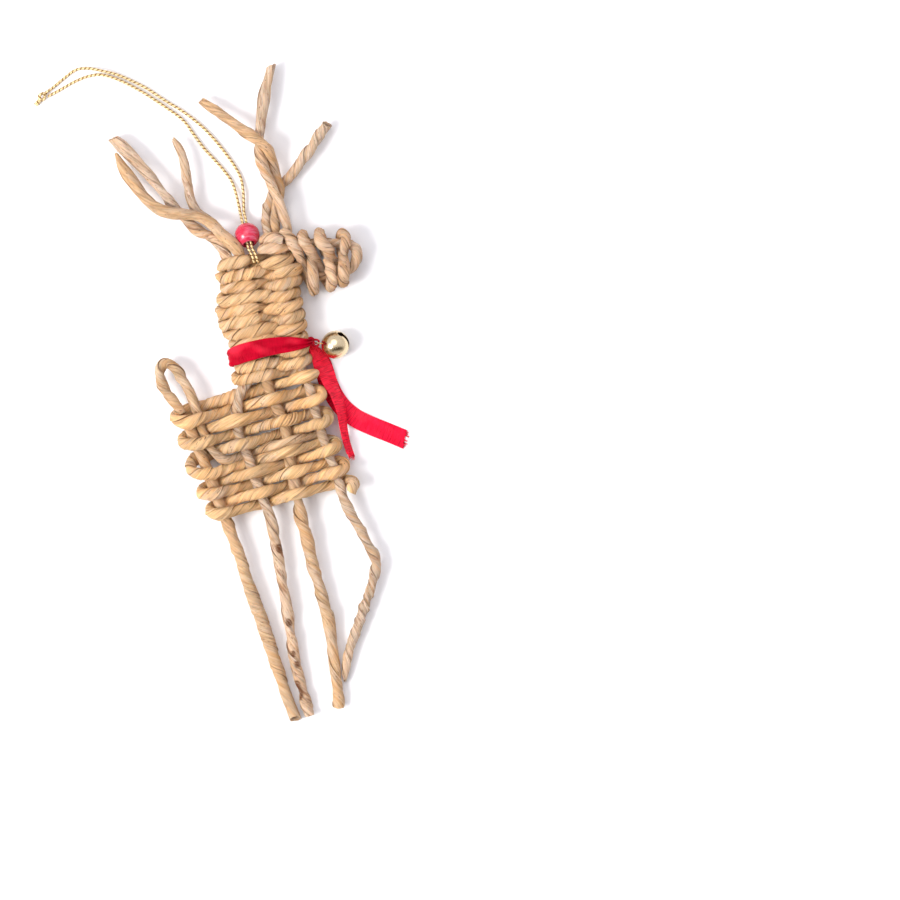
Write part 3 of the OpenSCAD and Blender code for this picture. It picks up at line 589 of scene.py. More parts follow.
# One ribbon in three brightnesses: painted shade darkens the copy for the band, knot and tie, painted
# light brightens the tails' copies, the upper one most
SHADED_SATIN = satin_material("shaded_satin_band", (0.55, 0.001, 0.021, 1), (0.32, 0.0004, 0.011, 1), 0.08)
LIT_RIBBED = satin_material("lit_satin_tail", (1.0, 0.032, 0.068, 1), (0.86, 0.014, 0.044, 1), 0.34)
LIT_FLAT_TAIL = satin_material("lit_satin_flat_tail", (0.86, 0.012, 0.05, 1), (0.72, 0.006, 0.034, 1), 0.3)


def ribbon_piece(name, points, node, material, level, seed, fray=False, crown=0.25,
                 thick=0.3, cut=0.0):
    """A satin ribbon: a thin closed band with gathers and a soft crown."""
    rng = np.random.default_rng(seed)
    path, s = even(points, 0.4)
    t = unit(np.gradient(path[:, :3], axis=0))
    if level:
        flat = unit(np.cross(np.array([0, 0, 1.0]), t))
        roll = np.radians(path[:, 3])[:, None]
        across = np.cos(roll) * flat + np.sin(roll) * np.cross(t, flat)
    else:
        y = np.array([0, 1.0, 0])
        across = unit(y - (t @ y)[:, None] * t)
    normal = np.cross(across, t)
    if level:
        normal = normal * np.sign(normal[:, 2:3] + 1e-9)
    m = 17
    u = np.linspace(-1, 1, m)
    gather = np.clip(1.6 - 1.6 * path[:, 4], 0, 1)
    top = np.empty((len(s), m, 3))
    waves = [wander(rng, s, 7, 1.0) for _ in range(2)]
    for k, a in enumerate(u):
        fold = gather * 0.42 * np.cos(a * 9 + waves[0]) + 0.14 * np.sin(a * 4 + 3 * waves[1])
        height = crown * (1 - a * a) * 0.5 + fold + 0.06 * waves[1] * a
        top[:, k] = (path[:, :3] + across * (a * RIBBON_W / 2 * path[:, 4])[:, None]
                     + normal * height[:, None])
    if cut:
        keep = np.clip((s - s[-1] + 3.0) / 3.0, 0, 1)
        top += (keep[:, None] * cut * u[None, :])[:, :, None] * t[:, None]
    if fray:
        jag = rng.uniform(-0.35, 0.35, m)
        top[-1] += jag[:, None] * t[-1]
        top[-2] += 0.5 * jag[:, None] * t[-2]
    low = top - normal[:, None] * thick
    ring = np.concatenate([top, low[:, ::-1]], axis=1)
    n = 2 * m
    verts = ring.reshape(-1, 3)
    faces = tube_faces(len(s), n)
    cloth = np.column_stack([np.repeat(s, n), np.tile(np.concatenate([u, u[::-1]]) * 3, len(s)),
                             np.full(len(verts), seed)])
    if fray:
        for _ in range(FRAYED_ENDS):
            a = rng.uniform(-0.95, 0.95)
            base = path[-1, :3] + across[-1] * a * RIBBON_W / 2 * path[-1, 4] - 0.15 * normal[-1]
            base = base + t[-1] * (cut * a - 0.3)
            reach = rng.uniform(0.7, 1.9)
            bend = across[-1] * rng.normal(0, 0.3) + normal[-1] * rng.normal(0, 0.12)
            mid = base + t[-1] * reach * 0.55 + bend * 0.3
            tip = base + t[-1] * reach + bend
            for p in (mid, tip):
                p[2] = max(p[2], 0.12)
            hair, hs = even([list(base), list(mid), list(tip)], 0.3)
            width = (0.09 * (1 - 0.5 * hs / hs[-1]))[:, None, None]
            hair_verts, hair_faces, _ = tube(hair, width, 4, first=len(verts))
            verts = np.vstack([verts, hair_verts])
            faces += hair_faces
            cloth = np.vstack([cloth, np.column_stack([
                s[-1] + np.repeat(hs, 4), np.full(4 * len(hs), a * 3), np.full(4 * len(hs), seed)])])
    obj = new_mesh(name, verts, faces, sharp=60)
    point_attribute(obj, "cloth", "FLOAT_VECTOR", cloth)
    finish_piece(obj, material, "figure", [node])
    return obj, placed(path[:, :3])


# The tails take the brighter copies of the ribbon: painted light, most on the upper tail
for name, points, node, cloth_look, seed, cut in (
        ("ribbon_tail_upper", LONG_TAIL, "ribbon_tail_long", LIT_RIBBED, 3, 0.7),
        ("ribbon_tail_lower", SHORT_TAIL, "ribbon_tail_short", LIT_FLAT_TAIL, 5, -0.5)):
    tail, tail_path = ribbon_piece(name, points, node, cloth_look, True, seed, fray=True,
                                   crown=0.3, thick=0.25, cut=cut)

# The band takes the darker copy of the ribbon: painted shade
ribbon_piece("ribbon_band", COLLAR, "ribbon_collar", SHADED_SATIN, False, 8, crown=0.35, thick=0.3)

KNOT = np.array([22.8, 14.9, 6.45])


def knot_mesh():
    """The ribbon's knot: three crumpled wraps of satin round the gathered band."""
    rng = np.random.default_rng(4)
    verts, faces, cloth = [], [], []
    for k, (tilt, size, lift) in enumerate(((20, 1.5, 0.0), (-28, 1.4, 0.1), (75, 1.15, 0.2))):
        a = np.linspace(0, 2 * math.pi, 49)[:-1]
        b = np.linspace(0, 2 * math.pi, 15)[:-1]
        first = sum(len(v) for v in verts)
        turn = Matrix.Rotation(math.radians(tilt), 3, "Z") @ Matrix.Rotation(
            math.radians(14 * (k - 1)), 3, "Y")
        for x in a:
            for y in b:
                r = size * (0.62 + 0.06 * math.sin(3 * x + k))
                flat = 0.75 + 0.10 * math.cos(5 * y + 2 * x)
                p = Vector((0.72 * size * math.sin(y) * flat,
                            (r + 0.5 * math.cos(y) * flat) * math.cos(x),
                            (r + 0.5 * math.cos(y) * flat) * math.sin(x)))
                verts.append([tuple(turn @ p + Vector((0, 0, lift)))])
                cloth.append((x * size, y, k))
        n, rings = len(b), len(a)
        faces += [(first + i * n + j, first + i * n + (j + 1) % n,
                   first + (i + 1) % rings * n + (j + 1) % n, first + (i + 1) % rings * n + j)
                  for i in range(rings) for j in range(n)]
    v = np.vstack(verts) + KNOT + rng.normal(0, 0.01, (len(cloth), 3))
    obj = new_mesh("ribbon_wraps", v, faces)
    point_attribute(obj, "cloth", "FLOAT_VECTOR", cloth)
    return obj


# The knot takes the darker copy of the ribbon: painted shade
finish_piece(knot_mesh(), SHADED_SATIN, "figure", ["ribbon_knot"])

# ---------- leaf cord routes

HIND_OUTER = [
    [-20.5, -5, 0, 3.4], [-19.4, -12, 0, 3.5], [-18, -18, 0, 3.6],
    [-16.6, -25, 0, 3.6], [-15.4, -32, 0, 3.7], [-14.4, -39, -0.5, 3.8],
    [-12.8, -49, -1, 3.8], [-11.6, -58, -1.5, 3.8], [-9.8, -70, -2.2, 3.9],
    [-8.6, -80, -2.8, 3.9], [-7.2, -90, -3.2, 3.8], [-5.4, -103, -3.4, 3.7]]
HIND_INNER = [
    [-0.5, -102, -3.6, 3.2], [-1.2, -93, -3.2, 3.2], [-1.8, -84, -2.8, 3.3],
    [-1.4, -75, -2.4, 3.2], [-1, -64, -1.9, 3.2], [-0.8, -54, -1.4, 3.1],
    [-0.8, -45, -0.9, 3.2], [-0.8, -38, -0.3, 3.2], [-1.8, -32, 0, 3.1],
    [-2.8, -26, 0, 3.1], [-4, -18, 0, 3.1], [-5.4, -10, 0, 3.1],
    [-4.7, -3, 0, 3.1], [-2.4, 3, 0, 3], [1.6, 7.6, 0, 3], [2.6, 12, 0, 3],
    [2.8, 18, 0, 3.1], [2.8, 28, 0, 3.1], [2.8, 38, 0, 3.1], [2, 44.5, 0, 3.6],
    [0.8, 49.5, 0.6, 3.9], [-1.6, 53, -0.6, 3.7], [-5.6, 56, -1.6, 3.3], [-9, 60, -1.7, 3],
    [-12, 65, -0.8, 3], [-14.6, 70, 0.2, 3], [-18, 76.5, 0, 3],
    [-21.6, 83, -0.8, 3.2], [-24.6, 87.2, -1.4, 3.6], [-27.2, 90.6, -1.8, 3.2]]
FORE_INNER = [
    [9.2, -101.5, -3.5, 3.5], [10.4, -90, -3, 3.5], [11, -79, -2.5, 3.5],
    [10.8, -69, -2, 3.5], [9.9, -57, -1.4, 3.5], [9.2, -47, -0.9, 3.5],
    [8.8, -39, -0.4, 3.5], [9, -32, 0, 3.4], [8.8, -24, 0, 3.4],
    [9.4, -16, 0, 3.4], [9.3, -9, 0, 3.4], [7.8, -3, 0, 3.4],
    [6.6, 3, 0, 3.1], [5.9, 9, 0, 3.1], [6.2, 18, 0, 3.1], [6.4, 28, 0, 3.1],
    [6.4, 38, 0, 3.1], [5.8, 45, 0.3, 3.5], [4.6, 49, 1.6, 3.9],
    [1.4, 53.6, 2, 3.9], [-1, 57.4, 1.8, 3.5], [-5, 60.6, 1.6, 3.2],
    [-9.4, 62.2, 1.7, 3.5], [-14, 63.6, 1.6, 3.6], [-18, 66.4, 0.8, 3.6],
    [-21, 70.8, 0.2, 3.8], [-23.8, 76.4, -0.4, 3.8], [-26, 81.4, -0.9, 2.8],
    [-27.2, 85.6, -1.2, 1]]
FORE_BENT = [
    [12.6, -94, -3.7, 0.9], [13.5, -90.6, -3.4, 2.2], [15.8, -84.6, -3.1, 2.8], [19.2, -79, -2.8, 2.8],
    [23, -72.4, -2.4, 2.9], [26.4, -66.4, -2, 2.9], [29, -61, -1.7, 2.9],
    [29.6, -57.4, -1.5, 2.9], [28.2, -52.6, -1.2, 2.9], [26.6, -47, -0.8, 2.9],
    [24.8, -42, -0.4, 2.9], [23.4, -36.5, -0.1, 2.9], [22.9, -31, 0, 2.9],
    [21.8, -24, 0, 2.9], [20.8, -16.5, 0, 2.9], [20, -9, 0, 2.9],
    [19.4, -1, 0, 2.9], [18.4, 6, 0, 2.8], [17.4, 13, 0, 2.7],
    [17.6, 20, 0, 2.8], [17.8, 30, 0, 2.8], [17.8, 40, 0, 2.8],
    [18.8, 44.4, 0, 2.7], [21, 47.4, 0, 2.7], [22.3, 51, 0.4, 2.9],
    [21.9, 56, 1.2, 3], [21.2, 60.6, 1.8, 3.1], [19.9, 66, 1.7, 3.1],
    [18.5, 72, 1.4, 3.2], [18, 77, -0.4, 3], [18.8, 81.6, -1.4, 2.8],
    [20.2, 86, -0.8, 3], [21.8, 91, -0.6, 3.1], [23.6, 96, -1, 3.1],
    [27.2, 103.8, -1.8, 2.7]]
TAIL = [
    [-21.7, -0.4, 0.8, 2.2], [-22.8, 1.8, 1, 2.7], [-24.2, 4.8, 0.8, 2.9],
    [-25.9, 8.4, 0.6, 2.9], [-26.8, 12, 0.4, 2.8], [-26.2, 15.4, 0.2, 2.8],
    [-23.9, 16.7, 0, 2.8], [-21.6, 14.6, 0.2, 2.9], [-20, 10.6, 0.4, 3],
    [-18.6, 6.6, 0.6, 3], [-17.7, 2.4, 0.6, 2.8], [-17.3, -2, 0.2, 2.6],
    [-16.8, -6.4, 0, 2.5], [-16, -10.6, 0, 2.5], [-14.4, -14.2, 1.6, 2.5],
    [-11.4, -17, 0.4, 2.7], [-8, -17.2, -1.8, 2.6], [-4.4, -16.7, -3.2, 2.5],
    [-0.6, -16.3, -2.4, 2.4], [2.4, -15.9, 0, 2.3], [5.4, -15.6, 2.2, 2.4],
    [9.2, -15.3, 3.1, 2.5], [12.4, -15.1, 2.2, 2.4], [15, -15, 0, 2.2],
    [17.6, -14.9, -2.2, 2.2], [20.6, -14.7, -2.9, 2.2]]
CROWN = [
    [12.2, 46.4, 1.6, 2.2], [13.2, 46.5, 2.6, 3], [15.4, 46.4, 3.3, 3.3],
    [18, 45.9, 3.4, 3.2], [20.2, 45.4, 2.5, 2.2], [22.7, 45.6, 0, 1.7],
    [21.4, 46.6, -2.6, 2.4], [18.4, 47.6, -3.4, 3], [16, 48.4, -3.3, 2.9],
    [14.2, 48.9, -2, 2.5], [13.4, 49.1, 0, 1.7], [14.1, 49.5, 2.2, 2.6],
    [16, 49.7, 3.3, 3.1], [18, 49.2, 3.5, 3], [20, 48.2, 3.9, 2.5]]
SNOUT_CORE = [
    [26, 45.6, 0, 2.3], [30, 45.2, 0, 2.5], [34, 44.7, 0, 2.6],
    [37.6, 43.7, 0, 2.6], [40.2, 42.9, 0, 2.8], [42.1, 41.6, 0, 3.1],
    [42.6, 39.6, 0, 3.1], [41.9, 37.2, 0, 3], [39.8, 35.2, 0, 2.8],
    [36, 34.2, 0, 2.6], [31, 34.2, 0, 2.5], [28, 34.8, 0, 2.2]]
REAR_TINE = [
    [-0.6, 57.9, -1.7, 2.2], [-2.8, 59.9, -1.6, 2.6], [-5.2, 62.8, -1.6, 2.7],
    [-6.2, 66.4, -1.2, 2.8],
    [-6.4, 70, -0.4, 2.9], [-6.4, 75, -0.2, 2.9], [-6.4, 80, -0.5, 2.8],
    [-7.2, 84, -0.9, 2.5], [-8.2, 86.6, -1.2, 1.2]]
FRONT_LEFT = [
    [18.7, 50.6, -0.6, 2.2], [18.7, 53.6, -0.6, 2.5], [19.2, 57.4, -0.9, 2.6],
    [21, 61.4, -1.5, 2.6], [22.4, 65.4, -1.5, 2.8], [21.8, 69.6, -1.2, 3],
    [21.3, 74, -0.5, 3], [20.4, 78, 1.8, 3], [17.8, 81.4, 1.8, 3],
    [15, 84.2, 0.9, 3], [12, 87.6, 0.2, 3], [8.6, 91.2, -0.4, 3],
    [5.6, 94.4, -1, 3], [3, 97.2, -1.4, 2.2]]
FRONT_RIGHT = [
    [15.9, 46.8, 0, 2.3], [15.8, 51, -0.6, 2.7], [16, 55.4, -1.4, 2.8],
    [17.2, 59.4, -2.4, 2.9], [19.4, 63, -3.9, 2.8], [22.6, 65.4, -4.1, 2.7],
    [25.4, 67.4, -2.6, 2.9], [28.8, 70.2, -1.4, 3], [31.6, 72.8, -1, 3],
    [34.6, 75.4, -1, 3], [38, 79, -1.4, 2.9], [41.2, 82, -1.8, 2.6]]

# The body's weaver, by the same rule as in part.scad: ten rows over and under four stakes
BODY_D = 3.6
STAKE_D = [3.5, 3.1, 3.4, 2.9]
SAG_RUMP = [0, 0, 0, 0, 0, 2.6, 2.5, 1.9, 1.4, 1]
SAG_CHEST = [-0.4, 0, 0, 0, 0.2, 2.3, 1.7, 1.4, 1.3, 0.9]
RUMP_TURN = [-24.4, -23.6, -22.6, -20.8, -19.2]
CHEST_TURN = [23.2, 23.8, 24.7, 25.8]


def stake_x(stake, y):
    """Where a stake runs, at y along the figure."""
    if stake == 0:
        return -20.6 - 0.185 * (y + 4)
    if stake == 1:
        return -5.4 + (0.12 if y > -10 else -0.16) * (y + 10)
    if stake == 2:
        return 9.3 - 0.22 * (y + 9) if y > -9 else 9.2
    return 19.4 - 0.11 * (y + 1)


def row_y(row, x):
    """Where a row runs, which slopes, and sags in the lower rows."""
    sag = SAG_RUMP[row] + (SAG_CHEST[row] - SAG_RUMP[row]) * (x + 20) / 42
    return 2.2 - row * 3.8 + 0.07 * x - sag


def crossing(row, stake):
    """Where a row passes over or under a stake."""
    y = row_y(row, stake_x(stake, row_y(row, 0)))
    side = (1 if stake == 3 else -1) if row == 0 else (1 if (row + stake) % 2 else -1)
    return [stake_x(stake, y), y, side * ((BODY_D + STAKE_D[stake]) / 2 + 0.1), BODY_D]


def between(row, stake):
    """Half way to the next stake."""
    a, b = crossing(row, stake), crossing(row, stake + 1)
    return [(a[k] + b[k]) / 2 for k in range(3)] + [BODY_D * (1 if a[2] * b[2] > 0 else 0.78)]


def beside_tail(row):
    """Past the tail cord, which runs down beside the first stake."""
    a = crossing(row, 0)
    return [a[0] + 3.9, row_y(row, a[0] + 3.9), a[2] * 0.9, BODY_D]


def row_points(row):
    """One row; even rows run from chest to rump."""
    order = range(4) if row % 2 else range(3, -1, -1)
    out = []
    for stake in order:
        out.append(crossing(row, stake))
        gap = stake if row % 2 else stake - 1
        if 0 <= gap < 3:
            pair = [between(row, gap)]
            if gap == 0 and row <= 4:
                pair.insert(0 if row % 2 else 1, beside_tail(row))
            out += pair
    return out


def turn_points(row):
    """The bend round the outermost stake into the next row."""
    stake = 3 if row % 2 else 0
    a, b = crossing(row, stake), crossing(row + 1, stake)
    x = CHEST_TURN[(row - 1) // 2] if row % 2 else RUMP_TURN[row // 2]
    toward = -0.6 if row % 2 else 0.6
    return [[x + toward, a[1] + (b[1] - a[1]) * 0.2, a[2] * 0.62, BODY_D * 0.92],
            [x, (a[1] + b[1]) / 2, (a[2] + b[2]) / 2, BODY_D * 0.86],
            [x + toward, b[1] - (b[1] - a[1]) * 0.2, b[2] * 0.62, BODY_D * 0.92]]


BODY = [[21.5, 4.4, -1.2, 2.4], [21.7, 4.3, 1.4, 2.8]]
for r in range(10):
    BODY += row_points(r) + (turn_points(r) if r < 9 else [])
BODY += [[26.2, -31.4, -1.2, 3.3], [27.2, -32.8, 0.6, 3.5], [26.3, -34.6, 1, 3]]

# The neck's figure of eight, eleven turns from the crown down
NECK_D, NECK_LOWEST, NECK_PITCH, NECK_HIGH = 3.5, 6.8, 3.65, 3.35
NECK_MIDDLE, NECK_SPREAD = 11.8, 1.6
NECK_BACK = [-3, -1, -1.2, -1.6, -1.8, -3, -3.6, -2.8, -0.6, -1.2, -1.6]
NECK_FRONT = [21.4, 20.5, 20.3, 20.5, 21, 21, 21.2, 21.2, 22.2, 22.8, 21]
NECK_DIVE = [11.6, 12.6, 10.8, 12.8, 13.2, 11, 10.6, 13.4, 11.4, 13, 10.8]
NECK_RISE = [11.6, 10.8, 12.4, 13, 11.2, 12.6, 10.6, 10.8, 12, 13.2, 11.4]


def neck_cycle(k):
    """One turn: over the back stakes, down through the middle, round the front and back."""
    even_y = NECK_LOWEST + k * NECK_PITCH
    low = even_y - NECK_PITCH / 2
    y = even_y + (0.7 if k == 10 else 0)
    last, d, high = even_y - NECK_PITCH, NECK_D, NECK_HIGH
    back, next_back, front = NECK_BACK[k], NECK_BACK[k - 1], NECK_FRONT[k]
    dive, rise = [NECK_MIDDLE + NECK_SPREAD * (x - NECK_MIDDLE) for x in (NECK_DIVE[k], NECK_RISE[k])]
    stake = 17.4 + 0.14 * (13 - y) if y < 13 else 17.6
    out = [[back + 0.7, y, high * 0.6, d * 0.9], [1.5, y, high, d], [6.5, y, high, d],
           [dive - 3.2, y, high * 0.66, d * 0.88], [dive, y + (y - even_y) / 3, 0, d * 0.74],
           [dive + 3.2, y, -high * 0.66, d * 0.88], [stake, y, -high, d]]
    if k:
        out += [[front - 0.5, y - 0.3, -high * 0.55, d * 0.86],
                [front, (y + low) / 2, 0, d * 0.8],
                [front - 0.5, low + 0.3, high * 0.55, d * 0.86], [stake, low, high, d],
                [rise + 3.2, low, high * 0.66, d * 0.88], [rise, low, 0, d * 0.74],
                [rise - 3.2, low, -high * 0.66, d * 0.88], [6.5, low, -high, d],
                [1.5, low, -high, d], [next_back + 0.7, low - 0.2, -high * 0.6, d * 0.9],
                [min(back, next_back) - 0.1, last + 0.9, 0, d * 0.8]]
    return out


NECK = [p for k in range(10, -1, -1) for p in neck_cycle(k)]

# The snout's figure of eight
DOWN_X = [[22.9, 24, 25.7, 26.5], [26.4, 28.2, 30.2, 31.6], [31.8, 33.6, 35.4, 36]]
UP_X = [[27, 27.4, 27.8, 27.2], [33.2, 33.2, 32.9, 32.2], [37, 37.8, 38, 38.4]]


def snout_pass(x, ys):
    """From over one limb of the core to under the other."""
    d, high = NECK_D, 3.4
    return [[x[0], ys[0], high * 0.95, d * 0.95], [x[1], ys[1], high * 0.75, d * 0.9],
            [(x[1] + x[2]) / 2, 40.2, 0, d * 0.62],
            [x[2], ys[2], -high * 0.75, d * 0.9], [x[3], ys[3], -high, d * 0.95]]


TOP_TURN, LOW_TURN = [49, 48.3, 46.8], [30.4, 30.8, 31.2]
SNOUT = [[21, 50.8, 2.8, 2.8]]
for i in range(3):
    top = TOP_TURN[i - 1] if i else 49.4
    SNOUT += snout_pass(DOWN_X[i], [top - 2.4, top - 5.6, 36.6, 33.4])
    SNOUT.append([(DOWN_X[i][3] + UP_X[i][0]) / 2, LOW_TURN[i], 0, 3])
    top = TOP_TURN[i]
    SNOUT += snout_pass(UP_X[i], [33.4, 36.6, top - 5.6, top - 2.6])
    SNOUT.append([(UP_X[i][3] + (DOWN_X[i + 1][0] if i < 2 else 40)) / 2, top, 0,
                  3 if i < 2 else 2.7])
SNOUT += [[39.9, 44.8, 2.7, 2.9], [39.3, 42.8, 3.2, 2.9], [38.5, 41, 1.8, 2.2]]

LEAF_SLOT, PALE_SLOT, ONE_LAP = "leaf_cord", "pale_leaf_cord", (0.0,)
leaf_cord("hind_leg_outer", "hind_outer_leg", HIND_OUTER, 11, TAN, 0.15, pitch=15,
          laps=ONE_LAP, flat=0.08)
leaf_cord("hind_leg_inner", "hind_inner_leg", HIND_INNER, 12, PALE, 0.8, pitch=(12, 13, 34),
          flat=0.12, eyes=((0.1, -48.4, 0.9), (-1.4, -72.4, 0.8), (-1.9, -82.4, 0.6),
                           (-1.4, -86, 0.7), (-2.6, -92.4, 0.9), (-3, -95, 1.5)))
leaf_cord("fore_leg_inner", "fore_inner_leg", FORE_INNER, 13, TAN, 0.3, pitch=(17, 15, 40),
          laps=ONE_LAP, flat=0.1)
leaf_cord("fore_leg_bent", "fore_bent_leg", FORE_BENT, 14, PALE, 0.55,
          pitch=(13, 14, 26), full=1.08, flat=0.12)
leaf_cord("tail_cord", "tail_loop", TAIL, 15, TAN, 0.3, pitch=13, full=1.2, flat=0.1)
leaf_cord("body_weave", "body_weaver", BODY, 16, STRAW, 0.25, pitch=13, full=1.14)
leaf_cord("neck_weave", "neck_weaver", NECK, 17, LIGHT, 0.4, pitch=12, full=1.17, flat=0.09)
leaf_cord("crown_cord", "crown_wrap", CROWN, 18, GREY, 0.5, pitch=11, full=1.18)
leaf_cord("snout_loop", "snout_core", SNOUT_CORE, 19, GREY, 0.5, pitch=12, full=1.08)
leaf_cord("snout_weave", "snout_weaver", SNOUT, 20, GREY, 0.45, pitch=11, full=1.18, flat=0.08)
leaf_cord("rear_tine", "rear_antler_tine", REAR_TINE, 21, PALE, 0.7, pitch=30, flat=0.14,
          ragged=1.2)
leaf_cord("front_tine_left", "front_antler_left_tine", FRONT_LEFT, 22, TAN, 0.6, pitch=(14, 24),
          full=1.1, flat=0.12)
leaf_cord("front_tine_right", "front_antler_right_tine", FRONT_RIGHT, 23, PALE, 0.55,
          pitch=13, full=1.08, flat=0.12)

# ---------- bead


def bead_material():
    """Stained wood under lacquer: turned rings, pale streaks low down, painted shade in and round the
    bore.
    """
    g = Graph("bead_stain")
    grain = g.attribute("grain", "Vector")
    rings = g.noise(g.stretch(grain, (0.5, 0.5, 2.4)), 1, 3)
    streak = g.noise(g.stretch(grain, (0.22, 0.22, 1.1), (4, 9, 2)), 1, 2)
    split = g.tree.nodes.new("ShaderNodeSeparateXYZ")
    g.link(grain, split.inputs[0])
    wide = g.math("SQRT", g.math("ADD", g.math("MULTIPLY", split.outputs[0], split.outputs[0]),
                                 g.math("MULTIPLY", split.outputs[1], split.outputs[1])))
    lower = g.span(split.outputs[2], 1.0, -0.6)
    colour = g.mix(g.span(rings, 0.35, 0.7), (0.52, 0.008, 0.04, 1), (0.68, 0.03, 0.085, 1))
    pale = g.math("MULTIPLY", g.span(streak, 0.46, 0.68), g.span(lower, 0, 1, 0.05, 0.8))
    colour = g.mix(pale, colour, (0.68, 0.17, 0.27, 1))
    # Painted shade: near black in the bore and on its lips
    colour = g.mix(g.span(wide, 2.3, 1.5, 0, 0.85), colour, (0.09, 0.004, 0.012, 1))
    g.set(Base_Color=colour, Roughness=g.span(rings, 0.3, 0.7, 0.2, 0.3))
    g.shader.inputs["Coat Weight"].default_value = 0.3
    g.shader.inputs["Coat Roughness"].default_value = 0.16
    g.bump(rings, 0.00004, 0.4)
    return g.material


def bead_mesh():
    """A round bead turned with rounded lips, on the hanger's axis."""
    ball, bore, half = 4.0, 1.4, 3.6
    outer = [math.radians(a) for a in np.linspace(-60, 62.5, 33)]
    profile = [(ball * math.cos(a), ball * math.sin(a)) for a in outer]
    profile += [(1.75, half - 0.01), (1.55, half - 0.08), (bore, half - 0.3)]
    profile += [(bore, z) for z in (2, 0, -2)]
    profile += [(bore, -half + 1.1), (1.65, -half + 0.7), (1.95, -half + 0.2)]
    around, n = 72, len(profile)
    x_axis, z_axis = BEAD_OVER, BEAD_RUN
    y_axis = np.cross(z_axis, x_axis)
    verts, local = [], []
    for i in range(around):
        a = 2 * math.pi * i / around
        for r, z in profile:
            p = np.array([r * math.cos(a), r * math.sin(a), z])
            local.append(p)
            verts.append(BEAD_CENTRE + p[0] * x_axis + p[1] * y_axis + p[2] * z_axis)
    faces = [(i * n + k, (i + 1) % around * n + k, (i + 1) % around * n + (k + 1) % n,
              i * n + (k + 1) % n) for i in range(around) for k in range(n)]
    obj = new_mesh("bead_ball", verts, faces)
    point_attribute(obj, "grain", "FLOAT_VECTOR", local)
    return obj


finish_piece(bead_mesh(), bead_material(), "bead_body", ["bead"])

# ---------- bell

BELL_PIN = (25, 13.7, 3.9)
BELL_HEADING, BELL_DIP = math.radians(-16), math.radians(-8)
BELL_REACH = 5.45  # from the pin to the ball's centre
BELL_WALL = (0.00424, 0.00432)  # radii inside the sheet's thickness, in metres
BELL_CENTRE = (MM * (BELL_PIN[0] - ORIGIN_X + BELL_REACH * math.cos(BELL_DIP) * math.cos(BELL_HEADING)),
               MM * (BELL_PIN[1] + BELL_REACH * math.cos(BELL_DIP) * math.sin(BELL_HEADING)),
               MM * (BELL_PIN[2] - BELL_REACH * math.sin(BELL_DIP)))


def metal_material(name, colour, dark, rough, hollow=None):
    """Thin polished sheet; with hollow, the sheet's inner face is near black and rougher."""
    g = Graph(name)
    place = g.tree.nodes.new("ShaderNodeTexCoord").outputs["Object"]
    cloud = g.noise(place, 260, 3)
    fine = g.noise(place, 2600, 2)
    shade = g.mix(g.span(cloud, 0.35, 0.7), colour, dark)
    rough_out = g.span(fine, 0.3, 0.7, rough, rough + 0.12)
    if hollow:
        away = g.tree.nodes.new("ShaderNodeVectorMath")
        away.operation = "DISTANCE"
        g.link(place, away.inputs[0])
        away.inputs[1].default_value = hollow
        inside = g.span(away.outputs["Value"], BELL_WALL[1], BELL_WALL[0])
        shade = g.mix(inside, shade, (0.045, 0.022, 0.008, 1))
        rough_out = g.math("MAXIMUM", rough_out, g.math("MULTIPLY", inside, 0.7))
    g.set(Base_Color=shade, Metallic=1.0, Roughness=rough_out)
    g.bump(cloud, 0.00002, 0.5)
    return g.material


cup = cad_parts["bell_cup"]
BRASS = metal_material("pale_brass", (0.80, 0.66, 0.43, 1), (0.70, 0.55, 0.33, 1), 0.16)
SHELL = metal_material("bell_shell", (0.80, 0.66, 0.43, 1), (0.70, 0.55, 0.33, 1), 0.16,
                       tuple(cup.matrix_world.inverted() @ Vector(BELL_CENTRE)))
STEEL = metal_material("pellet_metal", (0.16, 0.14, 0.12, 1), (0.1, 0.09, 0.08, 1), 0.35)
for node, material in (("bell_shank", BRASS), ("bell_cap", SHELL), ("bell_cup", SHELL),
                       ("bell_pellet", STEEL)):
    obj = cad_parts[node]
    obj.data.materials.clear()
    obj.data.materials.append(material)

TIE = [[-2.3, 0.5, 1.8], [-1.5, 1, 0.9], [-0.5, 1, 0.1], [0, 0.7, 0], [0, 0.3, 0],
       [0, -0.3, 0], [0, -0.7, 0], [-0.4, -0.9, 0.2], [-1.3, -0.9, 1], [-2.2, 0, 2.1]]
TIE_R, TIE_SIDES = 0.34, 10


def tie_piece():
    """A narrow folded ribbon through the bell's shank."""
    cos, sin = math.cos(BELL_HEADING), math.sin(BELL_HEADING)
    points = [[BELL_PIN[0] + x * cos - y * sin, BELL_PIN[1] + x * sin + y * cos, BELL_PIN[2] + z]
              for x, y, z in TIE]
    path, s = even(points, 0.15)
    lobes = 1 + 0.15 * np.cos(3 * np.arange(TIE_SIDES) * 2 * math.pi / TIE_SIDES)
    verts, faces, b = tube(path, TIE_R * lobes[None, :, None], TIE_SIDES)
    obj = new_mesh("ribbon_tie", verts, faces)
    point_attribute(obj, "cloth", "FLOAT_VECTOR", np.column_stack([
        np.repeat(s, TIE_SIDES), np.tile(b, len(s)), np.zeros(len(verts))]))
    # The tie takes the darker copy of the ribbon: painted shade
    finish_piece(obj, SHADED_SATIN, "figure", ["bell_tie"])


tie_piece()

# ---------- stage and light

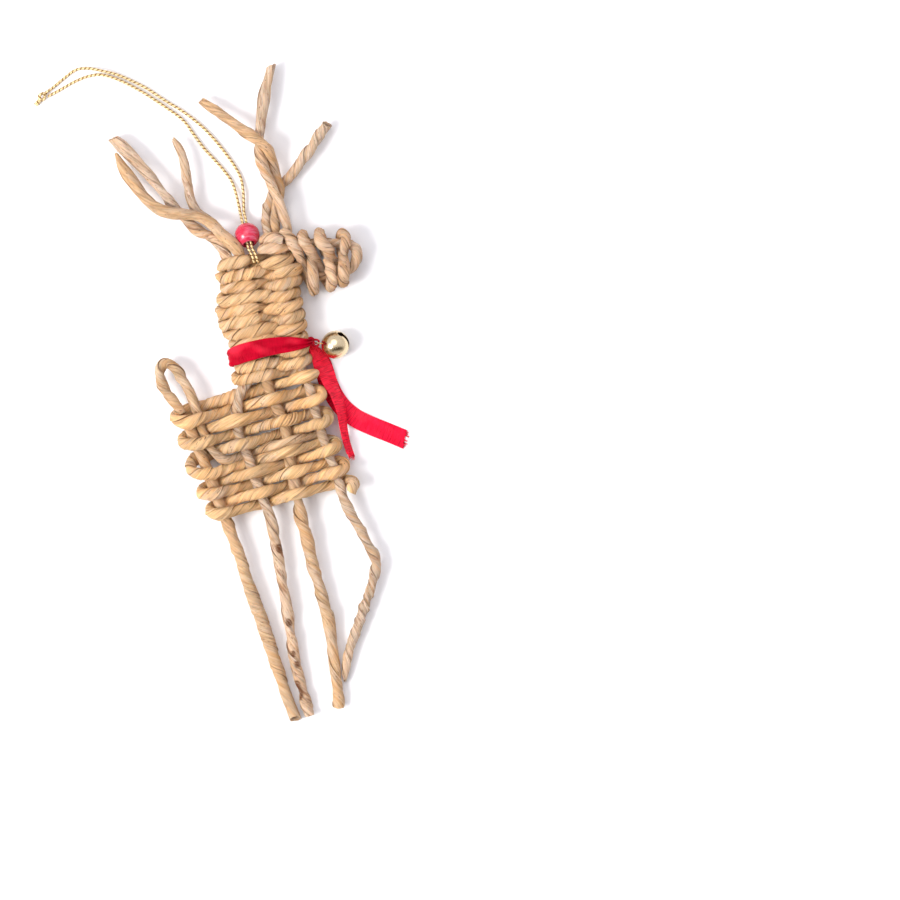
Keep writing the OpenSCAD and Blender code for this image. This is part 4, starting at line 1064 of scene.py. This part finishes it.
bpy.ops.mesh.primitive_plane_add(size=6, location=(0, 0, -0.0001))
floor = bpy.context.object
floor.name = "floor"
g = Graph("paper_floor")
g.set(Base_Color=(0.92, 0.92, 0.93, 1), Roughness=0.9)
floor.data.materials.append(g.material)


def lamp(name, place, size, power, colour):
    """A round soft lamp that faces the ornament."""
    data = bpy.data.lights.new(name, "AREA")
    data.shape = "DISK"
    data.size = size
    data.energy = power
    data.color = colour
    obj = bpy.data.objects.new(name, data)
    bpy.context.scene.collection.objects.link(obj)
    obj.location = place
    obj.rotation_euler = (Vector((0.02, 0, 0)) - Vector(place)).to_track_quat("-Z", "Y").to_euler()


lamp("key", (-0.8, -0.1, 0.9), 0.5, 14, (1, 0.985, 0.96))
lamp("fill", (-0.2, 0.6, 1.6), 1.5, 9, (0.96, 0.97, 1))


def studio_world():
    """An even pale sky with one dark band, which the bell reflects."""
    world = bpy.data.worlds.new("studio")
    bpy.context.scene.world = world
    world.use_nodes = True
    sky = world.node_tree
    way = sky.nodes.new("ShaderNodeTexCoord").outputs["Generated"]
    squash = sky.nodes.new("ShaderNodeMapping")
    squash.inputs["Scale"].default_value = (0.2, 1, 0.3)
    sky.links.new(way, squash.inputs["Vector"])
    gap = sky.nodes.new("ShaderNodeVectorMath")
    gap.operation = "DISTANCE"
    gap.inputs[1].default_value = (0.03, -0.6, 0.23)
    sky.links.new(squash.outputs[0], gap.inputs[0])
    ramp = sky.nodes.new("ShaderNodeMapRange")
    ramp.inputs["From Min"].default_value = 0.15
    ramp.inputs["From Max"].default_value = 0.3
    sky.links.new(gap.outputs["Value"], ramp.inputs["Value"])
    blend = sky.nodes.new("ShaderNodeMix")
    blend.data_type = "RGBA"
    blend.inputs[6].default_value = (0.09, 0.08, 0.07, 1)
    blend.inputs[7].default_value = (0.96, 0.94, 1.0, 1)
    sky.links.new(ramp.outputs[0], blend.inputs[0])
    sky.links.new(blend.outputs[2], sky.nodes["Background"].inputs[0])
    sky.nodes["Background"].inputs[1].default_value = 0.885


studio_world()
bpy.context.scene.view_settings.view_transform = "Standard"
bpy.context.scene.view_settings.look = "None"
